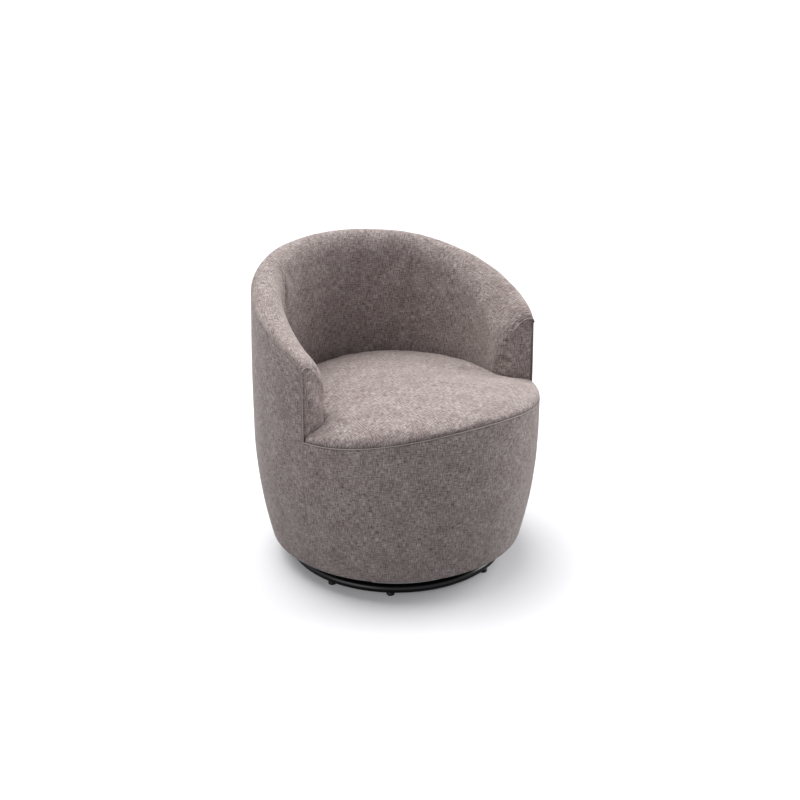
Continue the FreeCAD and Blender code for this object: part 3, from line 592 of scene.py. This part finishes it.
def spun_sheet(
    name: str, angles: Sequence[float], rows: int, surface: Surface
) -> bpy.types.Object:
    """A sheet round the body: an edge is divided, spun, and each vertex moved to its place.

    Args:
        name: the piece's name.
        angles: the angle of each column.
        rows: faces in each column.
        surface: gives the place and the cloth coordinates at an angle and a share of the section.

    Returns:
        The object, with a UV map of cloth lengths in metres.
    """
    mesh = bmesh.new()
    ends = [mesh.verts.new((1, 0, 0)), mesh.verts.new((1, 0, 1))]
    edge = mesh.edges.new(ends)
    bmesh.ops.subdivide_edges(mesh, edges=[edge], cuts=rows - 1)
    steps = len(angles) - 1
    bmesh.ops.spin(
        mesh,
        geom=mesh.verts[:] + mesh.edges[:],
        cent=(0, 0, 0),
        axis=(0, 0, 1),
        angle=math.pi,
        steps=steps,
        use_merge=False,
    )
    cloth = mesh.loops.layers.uv.new("cloth")
    places: dict[int, tuple[Vector, tuple[float, float]]] = {}
    mesh.verts.index_update()
    for vertex in mesh.verts:
        column = round(math.atan2(vertex.co.y, vertex.co.x) / math.pi * steps)
        column = column % (2 * steps) if column >= 0 else steps
        places[vertex.index] = surface(angles[min(column, steps)], min(max(vertex.co.z, 0.0), 1.0))
    for face in mesh.faces:
        for loop in face.loops:
            loop[cloth].uv = places[loop.vert.index][1]
    for vertex in mesh.verts:
        vertex.co = places[vertex.index][0]
    return to_object(mesh, name)


def face_outward(piece: bpy.types.Object, inward: Callable[[Vector], Vector]) -> None:
    """Turn a sheet over if its faces point the wrong way.

    Args:
        piece: the sheet.
        inward: for a place on the sheet, a direction into the padding.
    """
    middle = piece.data.polygons[len(piece.data.polygons) // 2]
    if middle.normal.dot(inward(middle.center)) > 0:
        piece.data.flip_normals()


def inflate(
    piece: bpy.types.Object, held: Sequence[int], pressure: float, cap: float, frames: int = 20
) -> None:
    """Let cloth simulation puff a cover up off its padding.

    Args:
        piece: the cover.
        held: vertices that seams hold in place.
        pressure: cloth pressure.
        cap: the furthest that a point may move, in metres.
        frames: frames simulated.
    """
    rest = [vertex.co.copy() for vertex in piece.data.vertices]
    group = piece.vertex_groups.new(name="held")
    group.add(list(held), 1.0, "REPLACE")
    cloth = piece.modifiers.new("Cloth", "CLOTH")
    cloth.settings.use_pressure = True
    cloth.settings.uniform_pressure_force = pressure
    cloth.settings.effector_weights.gravity = 0
    cloth.settings.vertex_group_mass = group.name
    cloth.settings.bending_stiffness = 2.0
    cloth.point_cache.frame_start = 1
    cloth.point_cache.frame_end = frames
    scene = bpy.context.scene
    for number in range(1, frames + 1):
        scene.frame_set(number)
    graph = bpy.context.evaluated_depsgraph_get()
    puffed = [vertex.co.copy() for vertex in piece.evaluated_get(graph).data.vertices]
    piece.modifiers.remove(cloth)
    piece.vertex_groups.clear()
    scene.frame_set(1)
    for vertex, here, there in zip(piece.data.vertices, rest, puffed):
        move = there - here
        far = move.length
        if far > 0:
            vertex.co = here + move * (cap * math.tanh(far / cap) / far)
    piece.data.update()


def tube(name: str, points: Sequence[Vector], radius: float) -> bpy.types.Object:
    """A thin round bead along a line of points.

    Args:
        name: the piece's name.
        points: the line.
        radius: the bead's radius in metres.

    Returns:
        The bead as a mesh.
    """
    curve = bpy.data.curves.new(name, "CURVE")
    curve.dimensions = "3D"
    curve.bevel_depth = radius
    curve.bevel_resolution = 2
    curve.use_fill_caps = True
    spline = curve.splines.new("POLY")
    spline.points.add(len(points) - 1)
    for place, point in zip(spline.points, points):
        place.co = (*point, 1.0)
    holder = bpy.data.objects.new(name + "_line", curve)
    bpy.context.scene.collection.objects.link(holder)
    graph = bpy.context.evaluated_depsgraph_get()
    data = bpy.data.meshes.new_from_object(holder.evaluated_get(graph))
    bpy.data.objects.remove(holder)
    shade(data)
    made = bpy.data.objects.new(name, data)
    bpy.context.scene.collection.objects.link(made)
    return made


def dress(
    piece: bpy.types.Object,
    body: str,
    material: bpy.types.Material,
    replaces: Sequence[str] = (),
) -> bpy.types.Object:
    """Give a piece its material and body, and hide the construction nodes that it stands for.

    Args:
        piece: the object.
        body: the body that it rides on.
        material: its finish.
        replaces: construction nodes that it stands for.

    Returns:
        The piece.
    """
    piece.data.materials.clear()
    piece.data.materials.append(material)
    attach(piece, body)
    if replaces:
        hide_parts(*replaces)
    LOG.info("%s: %d faces, on %s", piece.name, len(piece.data.polygons), body)
    return piece


# Sub-assemblies


@dataclass
class PaddedWall:
    """The wrap-around back and arms: inner and outer covers over their padding."""

    form: BarrelForm
    cloth: bpy.types.Material
    # The bead's cloth is drawn lighter than the covers: a painted highlight along the rim seam.
    bead: bpy.types.Material
    # Seams: how deep the rim's and the upright ones draw in, and how many degrees that takes.
    seam_dip: float = 0.0035
    side_dip: float = 0.0016
    seam_edge: float = 0.7
    sink: float = 0.6
    lap: float = 0.3
    corner: float = 0.007
    # The flat of an arm's front: where its roll ends, and its width in cloth coordinates.
    last_turn: float = 10.0
    front_flat: float = 0.065
    flat_steps: int = 12
    # Furrows at the inner upright seams: their width in seam edges and their depth in seam dips.
    inside_band: float = 0.012
    furrow_wide: float = 1.6
    furrow_low: float = 0.6
    furrow_high: float = 0.3
    furrow_split: float = 0.09
    furrow_in: float = 0.5
    furrow_down: float = 0.6
    # The cloth's unevenness, as depths and as waves in a metre.
    inner_ripple: float = 0.0008
    outer_ripple: float = 0.0007
    ripple_wide: float = 9.0
    ripple_fine: float = 26.0
    ripple_share: float = 0.4
    cloth_round: float = 0.9
    puff: float = 0.0025
    # Gathers low on the back: depth, reach in degrees, height, reach in height, and spacing.
    pucker: float = 0.0017
    pucker_wide: float = 5.0
    pucker_level: float = 0.47
    pucker_tall: float = 0.07
    pucker_pitch: float = 0.019
    pucker_sway: float = 1.3
    pucker_grain: float = 40.0
    # The bead in the rim's seam, which turns down at both arm fronts.
    bead_in: float = 0.0012
    bead_radius: float = 0.0011
    bead_short: float = 0.5
    bead_drop: float = 0.004
    bead_foot: float = 0.062

    def inner_path(self, angle: float) -> Path:
        """From the tuck at the seat up the inside, over the roll and down to the outer seam.

        Args:
            angle: degrees from the back.

        Returns:
            The section at that angle.
        """
        form = self.form
        closed = form.closed(angle)
        angle = min(abs(angle), form.arm_end)
        inner, top, seam = form.inner(angle), form.crest(angle), form.outer_seam(angle)
        outer, drop = form.side(seam), top - seam
        dip = self.seam_dip + (self.side_dip - self.seam_dip) * closed
        near = inner + (outer - dip - inner) * closed
        middle = Vector((outer - drop, top - drop))
        path = Path(near, form.tuck)
        if near < middle.x:
            wide, tall = middle.x - inner, form.roll_tall(angle)
            centre = Vector((middle.x, top - tall))
            begin = math.acos(max((near - middle.x) / wide, -1.0))
            path.line(near, centre.y + tall * math.sin(begin))
            path.arc(centre, math.degrees(begin), 90, Vector((wide, tall)), steps=26)
            path.arc(middle, 90, 0, Vector((drop, drop)))
        else:
            start = math.acos(min((near - middle.x) / drop, 1.0))
            path.line(near, middle.y + drop * math.sin(start))
            path.arc(middle, math.degrees(start), self.last_turn * closed, Vector((drop, drop)))
        return path.line(outer - dip, seam - dip * self.sink)

    def outer_path(self, top: float) -> Path:
        """From a seam down the barrel's side and in under the body.

        Args:
            top: the seam's height.

        Returns:
            The section.
        """
        form, dip, corner = self.form, self.seam_dip, self.corner
        path = Path(form.side(top) - dip, top + dip * self.lap)
        path.arc(Vector((form.side(top) - dip, top - dip)), 90, 0, Vector((dip, dip)), steps=5)
        low = form.underside + corner
        steps = 30
        for i in range(1, steps + 1):
            level = top - dip + (low - top + dip) * i / steps
            path.line(form.side(level), level)
        middle = Vector((form.side(low) - corner, low))
        path.arc(middle, 0, -90, Vector((corner, corner)), steps=6)
        return path.line(form.side(form.board_underside) - form.lip, form.underside)

    def edge_dip(self, angle: float, start: float, end: float) -> float:
        """How deep a panel's side edges draw into their seams."""
        near = portion(min(angle - start, end - angle), 0.0, self.seam_edge)
        return self.side_dip * quarter(1 - near)

    def ripple(self, place: Vector, size: float) -> float:
        """The cloth's slight unevenness, in metres."""
        fine = noise.noise(place * self.ripple_fine)
        return size * (noise.noise(place * self.ripple_wide) + self.ripple_share * fine)

    def inner_place(
        self, seams: tuple[float, float], angle: float, share: float
    ) -> tuple[Vector, tuple[float, float]]:
        """Place a point of an inner cover.

        Args:
            seams: the angles where the cover begins and ends.
            angle: degrees from the back.
            share: share of the section's length, from the tuck at the seat.

        Returns:
            The place and the cloth coordinates.
        """
        form = self.form
        path = self.inner_path(angle)
        point = path.at(share)
        inside = point.x < form.inner(min(abs(angle), form.arm_end)) + self.inside_band
        low = point.y < form.crest(angle) - self.furrow_split
        deep = self.seam_dip * (self.furrow_low if low else self.furrow_high)
        dip = 0.0
        for seam in seams:
            if abs(seam) < form.wall_end:
                near = abs(angle - seam) / (self.seam_edge * self.furrow_wide)
                dip = max(dip, deep * math.exp(-(near**2)))
        far = point.x + (dip if inside else -dip * self.furrow_in)
        turned = form.true_angle(angle)
        far += self.ripple(polar(turned, far, point.y), self.inner_ripple)
        if inside:
            far += self.puckers(angle, point.y)
        place = polar(turned, far, point.y - (0 if inside else dip * self.furrow_down))
        around = math.radians(turned) * form.radius * self.cloth_round
        around += math.copysign(form.closed(angle) * self.front_flat, angle)
        return place, (around, path.length() * share + form.tuck)

    def puckers(self, angle: float, level: float) -> float:
        """Small gathers that run out from the inner upright seams low on the back.

        Args:
            angle: degrees from the back.
            level: height.

        Returns:
            How far the cloth stands back, in metres.
        """
        near = abs(abs(angle) - self.form.panel_seam)
        side = math.exp(-((near / self.pucker_wide) ** 2))
        rise = math.exp(-(((level - self.pucker_level) / self.pucker_tall) ** 2))
        sway = self.pucker_sway * noise.noise(Vector((angle, level * self.pucker_grain, 0)))
        wave = math.sin(2 * math.pi * level / self.pucker_pitch + sway)
        return self.pucker * side * rise * wave

    def outer_place(
        self, ends: tuple[float, float], top: Callable[[float], float], angle: float, share: float
    ) -> tuple[Vector, tuple[float, float]]:
        """Place a point of a cover on the barrel's side.

        Args:
            ends: the angles where the cover begins and ends.
            top: the seam's height at an angle.
            angle: degrees from the back.
            share: share of the section's length, from the seam.

        Returns:
            The place and the cloth coordinates.
        """
        path = self.outer_path(top(angle))
        point = path.at(share)
        far = point.x - self.edge_dip(angle, *ends)
        place = polar(angle, far, point.y)
        place = polar(angle, far + self.ripple(place, self.outer_ripple), point.y)
        return place, (math.radians(angle) * self.form.radius, top(angle) - path.length() * share)

    def build(self) -> None:
        """Build and dress every cover of the wall and the seam outside its rim."""
        self.inner_covers()
        self.outer_cover()
        self.rim_seam()

    def inner_covers(self) -> None:
        """Build the inner back and both arms, each puffed up over its foam."""
        form = self.form
        seam, end = form.panel_seam, form.arm_end
        back = stations(-seam, seam, count=56, edge=2.0, edge_count=4)
        arm = stations(seam, end, count=42, edge=6.0, edge_count=10)
        arm += [end + form.closing * (i / self.flat_steps) for i in range(1, self.flat_steps + 1)]
        left = [-angle for angle in reversed(arm)]
        covers = (
            ("inner_back_pad", back, ["inner_back_cover", "back_foam"]),
            ("arm_pad_left", left, ["inner_arm_cover_left", "arm_front_left"]),
            ("arm_pad_right", arm, ["inner_arm_cover_right", "arm_front_right"]),
        )
        for name, angles, nodes in covers:
            surface = partial(self.inner_place, (angles[0], angles[-1]))
            piece = spun_sheet(name, angles, 70, surface)
            face_outward(piece, from_axis)
            self.puff_up(piece)
            self.thicken(piece)
            dress(piece, "seat", self.cloth, nodes)

    def outer_cover(self) -> None:
        """Build the one panel round the back and both arms."""
        end = self.form.arm_end
        angles = stations(-end, end, count=150, edge=self.seam_edge, edge_count=5)
        surface = partial(self.outer_place, (-end, end), self.form.outer_seam)
        piece = spun_sheet("outer_panel", angles, 64, surface)
        face_outward(piece, to_axis)
        self.thicken(piece)
        dress(piece, "seat", self.cloth, ["outer_cover", "outer_wadding"])

    def rim_seam(self) -> None:
        """Build the bead up one arm front, round outside the rim and down the other."""
        form = self.form
        end = form.arm_end
        first = -end + self.bead_short
        line = [
            polar(a, form.side(form.outer_seam(a)) - self.bead_in, form.outer_seam(a))
            for a in stations(first, -first, count=170, edge=6.0, edge_count=12)
        ]
        start, steps = form.outer_seam(end) - self.bead_drop, 40
        down = [start * (1 - i / steps) + self.bead_foot * i / steps for i in range(steps + 1)]
        aside = end + form.seam_gap / 2
        left = [polar(-aside, form.side(z) - self.bead_in, z) for z in reversed(down)]
        right = [polar(aside, form.side(z) - self.bead_in, z) for z in down]
        piece = tube("rim_seam", left + line + right, self.bead_radius)
        dress(piece, "seat", self.bead)

    def puff_up(self, piece: bpy.types.Object) -> None:
        """Simulate a cover over its foam, held along its edges.

        Args:
            piece: the cover.
        """
        edges = {}
        for polygon in piece.data.polygons:
            for key in polygon.edge_keys:
                edges[key] = edges.get(key, 0) + 1
        held = sorted({index for key, count in edges.items() if count == 1 for index in key})
        inflate(piece, held, PRESSURE, self.puff)

    def thicken(self, piece: bpy.types.Object) -> None:
        """Give a cover its cloth thickness, inwards.

        Args:
            piece: the cover.
        """
        add_modifier(piece, "SOLIDIFY", thickness=self.form.skin, offset=-1.0)
        apply_modifiers(piece)
        shade(piece.data)


@dataclass
class Seat:
    """The crowned seat cushion and the front panel below its seam."""

    form: BarrelForm
    wall: PaddedWall
    cloth: bpy.types.Material
    # The bead's cloth is drawn lighter than the covers: a painted highlight along the front seam.
    bead: bpy.types.Material
    # The crown's top, and the radii in which it falls to the sides, the front and the back.
    crown_level: float = 0.441
    crown_forward: float = 0.165
    across: float = 0.8936
    along: float = 1.3148
    along_rear: float = 1.85
    # The edge: its rounding, its hem at the seam or in the tuck, and the turn under it.
    middle: float = 0.090
    shoulder: float = 0.015
    tuck: float = 0.352
    clear: float = 0.0006
    probe: float = 0.001
    hem_up: float = 0.003
    hem_in: float = 0.004
    hem_down: float = 0.0005
    under_in: float = 0.03
    under_down: float = 0.004
    held_above: float = 0.008
    voxel: float = 0.005
    puff: float = 0.006
    # The bead in the front seam.
    bead_in: float = 0.0008
    bead_up: float = 0.0002
    bead_radius: float = 0.0013

    def crown(self, place: Vector) -> float:
        """Find the crown's height over a place.

        Args:
            place: a place on the floor plan.

        Returns:
            The height in metres.
        """
        ahead = place.y + self.crown_forward
        fall = self.across - math.sqrt(self.across**2 - place.x**2)
        along = self.along if ahead < 0 else self.along_rear
        return self.crown_level - fall - along + math.sqrt(along**2 - ahead**2)

    def outline(self, angle: float) -> tuple[Vector, float]:
        """The cushion's outline and lower edge at an angle.

        Args:
            angle: degrees from the back, 0 to 360.

        Returns:
            The outline's place on the floor plan, and the edge's height.
        """
        form = self.form
        near = min(angle % 360, 360 - angle % 360)
        if near <= form.arm_end + form.seam_gap / 2:
            return polar(angle, form.inner(min(near, form.arm_end)) - self.clear, 0), self.tuck
        seam = form.front_seam(angle)
        return polar(angle, form.side(seam), 0), seam

    def section(self, angle: float) -> tuple[Path, Vector, Vector]:
        """The cushion's section from its middle over the rounded edge to its underside.

        Args:
            angle: degrees from the back.

        Returns:
            The path, the middle's place and the direction outwards.
        """
        rim, edge = self.outline(angle)
        middle = Vector((0, -self.middle, 0))
        reach = (rim - middle).length
        way = (rim - middle) / reach
        turn = self.shoulder
        centre = reach - turn
        beyond = middle + way * (centre + self.probe)
        slope = math.atan((self.crown(middle + way * centre) - self.crown(beyond)) / self.probe)
        start = centre + turn * math.sin(slope)
        low = self.crown(middle + way * start) - turn * math.cos(slope)
        path = Path(0, self.crown(middle))
        steps = 24
        for i in range(1, steps + 1):
            far = start * i / steps
            path.line(far, self.crown(middle + way * far))
        path.arc(Vector((centre, low)), 90 - math.degrees(slope), 0, Vector((turn, turn)), steps=8)
        path.line(reach, edge + self.hem_up)
        path.line(reach - self.hem_in, edge - self.hem_down)
        return path.line(reach - self.under_in, edge - self.under_down), middle, way

    def cushion_place(self, angle: float, share: float) -> tuple[Vector, tuple[float, float]]:
        """Place a point of the cushion.

        Args:
            angle: degrees from the back.
            share: share of the section's length, from the cushion's middle.

        Returns:
            The place and the cloth coordinates.
        """
        path, middle, way = self.section(angle)
        point = path.at(share)
        place = middle + way * point.x + Vector((0, 0, point.y))
        return place, (place.x, place.y)

    def closed_form(self) -> bpy.types.Object:
        """Build the cushion as a closed form, before it is remeshed.

        Returns:
            The cushion.
        """
        form = self.form
        end, gap = form.arm_end, form.seam_gap
        inner_steps, nose_steps, front_steps = 40, 8, 60
        inner = [end * i / inner_steps for i in range(inner_steps)]
        nose = [
            form.wall_end + (end - form.wall_end) * math.sin(math.pi / 2 * i / nose_steps)
            for i in range(nose_steps + 1)
        ]
        right = [angle for angle in inner if angle < form.wall_end] + nose
        span = 360 - 2 * end - 2 * gap
        front = [end + gap + span * i / front_steps for i in range(front_steps + 1)]
        angles = right + front + [360 - angle for angle in reversed(right)]
        piece = spun_sheet("seat_cushion", angles, 60, self.cushion_place)
        mesh = bmesh.new()
        mesh.from_mesh(piece.data)
        bmesh.ops.remove_doubles(mesh, verts=mesh.verts[:], dist=0.0002)
        bmesh.ops.holes_fill(mesh, edges=[e for e in mesh.edges if e.is_boundary], sides=0)
        bmesh.ops.recalc_face_normals(mesh, faces=mesh.faces[:])
        mesh.to_mesh(piece.data)
        mesh.free()
        return piece

    def build(self) -> None:
        """Build and dress the cushion, the front panel and the seam between them."""
        self.cushion()
        self.front_panel()
        self.front_seam()

    def cushion(self) -> None:
        """Build the cushion: remeshed evenly and puffed up by simulation."""
        piece = self.closed_form()
        add_modifier(piece, "REMESH", mode="VOXEL", voxel_size=self.voxel)
        apply_modifiers(piece)
        inflate(piece, self.held(piece), PRESSURE, self.puff)
        self.lay_cloth(piece)
        add_modifier(piece, "SUBSURF", levels=1, render_levels=1)
        apply_modifiers(piece)
        shade(piece.data)
        dress(piece, "seat", self.cloth, ["seat_cover", "seat_foam"])

    def front_panel(self) -> None:
        """Build the panel from the front seam down to the base."""
        start = self.form.arm_end + self.form.seam_gap
        ends = (start, 360 - start)
        angles = stations(*ends, count=96, edge=self.wall.seam_edge, edge_count=5)
        surface = partial(self.wall.outer_place, ends, self.form.front_seam)
        piece = spun_sheet("front_panel", angles, 56, surface)
        face_outward(piece, to_axis)
        self.wall.thicken(piece)
        nodes = ["front_cover", "front_wadding"]
        dress(piece, "seat", self.cloth, nodes)

    def front_seam(self) -> None:
        """Build the bead between the cushion and the front panel."""
        form = self.form
        start = form.arm_end + form.seam_gap
        line = [
            polar(a, form.side(form.front_seam(a)) - self.bead_in, form.front_seam(a) + self.bead_up)
            for a in stations(start, 360 - start, count=110, edge=2.0, edge_count=3)
        ]
        piece = tube("front_seam", line, self.bead_radius)
        dress(piece, "seat", self.bead)

    def held(self, piece: bpy.types.Object) -> list[int]:
        """Find what the seam and the tuck hold: the underside and the lower edge.

        Args:
            piece: the cushion.

        Returns:
            The numbers of the vertices.
        """
        found = []
        for vertex in piece.data.vertices:
            angle = math.degrees(math.atan2(vertex.co.x, vertex.co.y)) % 360
            _, edge = self.outline(angle)
            if vertex.co.z < edge + self.held_above:
                found.append(vertex.index)
        return found

    def lay_cloth(self, piece: bpy.types.Object) -> None:
        """Give the cushion cloth coordinates: flat from above, running on down its edge.

        Args:
            piece: the cushion.
        """
        layer = piece.data.uv_layers.new(name="cloth")
        for loop in piece.data.loops:
            place = piece.data.vertices[loop.vertex_index].co
            drop = min(place.z - self.crown(place), 0.0)
            layer.data[loop.index].uv = (place.x, place.y + drop)


@dataclass
class RingBase:
    """The visible pieces of the stationary base: the tube ring and its glides."""

    steel: bpy.types.Material
    nylon: bpy.types.Material
    ring_radius: float = 0.245
    tube_radius: float = 0.010
    lift: float = 0.005
    # Glides: two near the end of each cross bar, a spread in degrees to each side.
    bar_angles: tuple[float, ...] = (45, 135, 225, 315)
    turn: float = 7.5
    spread: float = 16.5
    glide_radius: float = 0.009
    glide_grip: float = 0.003
    glide_edge: float = 0.0012
    sharp: float = 1.0
    near_floor: float = 0.001

    def ring(self) -> bpy.types.Object:
        """The round tube, spun from a circle.

        Returns:
            The ring.
        """
        mesh = bmesh.new()
        made = bmesh.ops.create_circle(mesh, segments=24, radius=self.tube_radius)["verts"]
        upright = Matrix.Rotation(math.pi / 2, 3, "X")
        bmesh.ops.rotate(mesh, verts=made, cent=(0, 0, 0), matrix=upright)
        level = self.lift + self.tube_radius
        bmesh.ops.translate(mesh, verts=made, vec=(self.ring_radius, 0, level))
        bmesh.ops.spin(
            mesh,
            geom=mesh.verts[:] + mesh.edges[:],
            cent=(0, 0, 0),
            axis=(0, 0, 1),
            angle=2 * math.pi,
            steps=160,
            use_merge=True,
        )
        bmesh.ops.recalc_face_normals(mesh, faces=mesh.faces[:])
        return to_object(mesh, "ring_tube")

    def glides(self) -> bpy.types.Object:
        """Moulded glides pushed up against the ring, with rounded edges.

        Returns:
            All the glides in one piece.
        """
        mesh = bmesh.new()
        tall = self.lift + self.glide_grip
        for angle in self.bar_angles:
            for side in (-1, 1):
                made = bmesh.ops.create_cone(
                    mesh,
                    cap_ends=True,
                    segments=28,
                    radius1=self.glide_radius,
                    radius2=self.glide_radius,
                    depth=tall,
                )["verts"]
                turn = math.radians(angle - self.turn + side * self.spread)
                place = Vector((math.cos(turn), math.sin(turn), 0)) * self.ring_radius
                place.z = tall / 2
                bmesh.ops.translate(mesh, verts=made, vec=place)
        rims = [e for e in mesh.edges if len(e.link_faces) == 2 and e.calc_face_angle() > self.sharp]
        low = [e for e in rims if max(v.co.z for v in e.verts) < self.near_floor]
        bmesh.ops.bevel(
            mesh,
            geom=low,
            offset=self.glide_edge,
            segments=3,
            profile=0.5,
            affect="EDGES",
            material=-1,
        )
        return to_object(mesh, "floor_glides")

    def build(self) -> None:
        """Build and dress the base's visible pieces."""
        dress(self.ring(), "base", self.steel, ["base_ring"])
        dress(self.glides(), "base", self.nylon, ["base_glides"])


@dataclass
class InsidePieces:
    """The construction nodes that stay as they are, each with its real finish."""

    finishes: dict[str, bpy.types.Material]

    def build(self) -> None:
        """Give every construction node the finish of its material slot."""
        slots = {row["node"]: row["material_slot"] for row in frame["record"]["subparts"]}
        for name, thing in frame["nodes"].items():
            material = self.finishes.get(slots[name])
            if material is None:
                continue
            if not thing.material_slots:
                thing.data.materials.append(material)
            for place in thing.material_slots:
                place.material = material


@dataclass(frozen=True)
class Lamp:
    """A wide, soft sun: its strength, its direction from the chair and its width in degrees."""

    name: str
    energy: float
    way: tuple[float, float, float]
    spread: float = 50.0


@dataclass
class Studio:
    """Pale floor, soft lamps and the camera."""

    azimuth: float = -33.0
    elevation: float = 22.5
    distance: float = 2.854
    aside: float = 0.0081
    height: float = 0.3636
    lens: float = 56.25
    floor_radius: float = 40.0
    lift: float = 0.12
    room: float = 0.38
    lamps: tuple[Lamp, ...] = (
        Lamp("key", 2.95, (-0.12, 0.34, 1.0)),
        Lamp("side", 2.3, (1.0, -0.08, 0.42)),
        Lamp("left", 0.5, (-1.0, -0.25, 0.2)),
    )

    def build(self) -> None:
        """Make the floor, the light and the camera."""
        self.floor()
        self.light()
        self.camera()

    def floor(self) -> None:
        """Make a plain floor that looks nearly white to the camera and keeps the soft shadow."""
        mesh = bmesh.new()
        bmesh.ops.create_circle(mesh, cap_ends=True, segments=64, radius=self.floor_radius)
        plane = to_object(mesh, "floor", smooth=False)
        material, tree, output = new_material("studio floor")
        seen = add_node(tree, "LightPath").outputs["Is Camera Ray"]
        pale = add_node(tree, "BsdfDiffuse", {"Color": linear("f6f6f8")})
        lit = add_node(tree, "Emission", {"Color": (1, 1, 1, 1), "Strength": 1.0})
        lifted = add_node(tree, "MixShader", {0: self.lift, 1: pale.outputs[0], 2: lit.outputs[0]})
        grey = add_node(tree, "BsdfDiffuse", {"Color": linear("8f8f92")})
        mixed = add_node(tree, "MixShader", {0: seen, 1: grey.outputs[0], 2: lifted.outputs[0]})
        tree.links.new(mixed.outputs[0], output.inputs[0])
        plane.data.materials.append(material)

    def light(self) -> None:
        """Make the soft lamps from above and both sides, and a pale world."""
        world = bpy.data.worlds.new("studio")
        bpy.context.scene.world = world
        world.use_nodes = True
        tree = world.node_tree
        tree.nodes.clear()
        rays = add_node(tree, "LightPath").outputs["Is Camera Ray"]
        room = add_node(tree, "Background", {"Color": linear("f4f5fa"), "Strength": self.room})
        seen = add_node(tree, "Background", {"Color": (1, 1, 1, 1), "Strength": 1.0})
        mixed = add_node(tree, "MixShader", {0: rays, 1: room.outputs[0], 2: seen.outputs[0]})
        output = add_node(tree, "OutputWorld")
        tree.links.new(mixed.outputs[0], output.inputs[0])
        for lamp in self.lamps:
            data = bpy.data.lights.new(lamp.name, "SUN")
            data.energy = lamp.energy
            data.angle = math.radians(lamp.spread)
            sun = bpy.data.objects.new(lamp.name, data)
            sun.rotation_euler = Vector(lamp.way).to_track_quat("Z", "Y").to_euler()
            bpy.context.scene.collection.objects.link(sun)
        bpy.context.scene.view_settings.view_transform = "Standard"

    def camera(self) -> None:
        """Make the camera at the photograph's viewing angle."""
        turn, tilt = math.radians(self.azimuth), math.radians(self.elevation)
        level = math.cos(tilt)
        back = Vector((math.sin(turn) * level, -math.cos(turn) * level, math.sin(tilt)))
        right = Vector((math.cos(turn), math.sin(turn), 0))
        data = bpy.data.cameras.new("camera")
        data.lens = self.lens
        data.sensor_width = 36.0
        data.clip_end = 100.0
        camera = bpy.data.objects.new("camera", data)
        place = right * self.aside + Vector((0, 0, self.height)) + back * self.distance
        aim = back.to_track_quat("Z", "Y").to_matrix().to_4x4()
        camera.matrix_world = Matrix.Translation(place) @ aim
        bpy.context.scene.collection.objects.link(camera)
        bpy.context.scene.camera = camera


def main() -> None:
    """Build the chair's looks and the studio."""
    logging.basicConfig(level=logging.INFO, format="%(name)s: %(message)s")
    form = BarrelForm()
    cloth = WovenFabric().material()
    # The beads' cloth is lighter than the chair's cloth: a painted highlight along the seams.
    bead = WovenFabric(
        name="seam bead cloth with painted highlight", shade="8d827d", ground="b9aea8", slub="ddd4ce"
    ).material()
    steel, nylon = POWDER_COAT.material(), BLACK_NYLON.material()
    wall = PaddedWall(form, cloth, bead)
    wall.build()
    Seat(form, wall, cloth, bead).build()
    RingBase(steel, nylon).build()
    InsidePieces(
        {
            "black_steel": steel,
            "zinc_steel": ZINC.material(),
            "bearing_steel": GROUND_STEEL.material(),
            "cage_nylon": NATURAL_NYLON.material(),
            "glide_nylon": nylon,
            "plywood": PLYWOOD.material(),
            "fibreboard": FIBREBOARD.material(),
            "webbing": WEBBING.material(),
            "black_cloth": BLACK_CLOTH.material(),
            "foam": FOAM.material(),
            "wadding": WADDING.material(),
            "upholstery": cloth,
        }
    ).build()
    Studio().build()


if __name__ == "__main__":
    main()
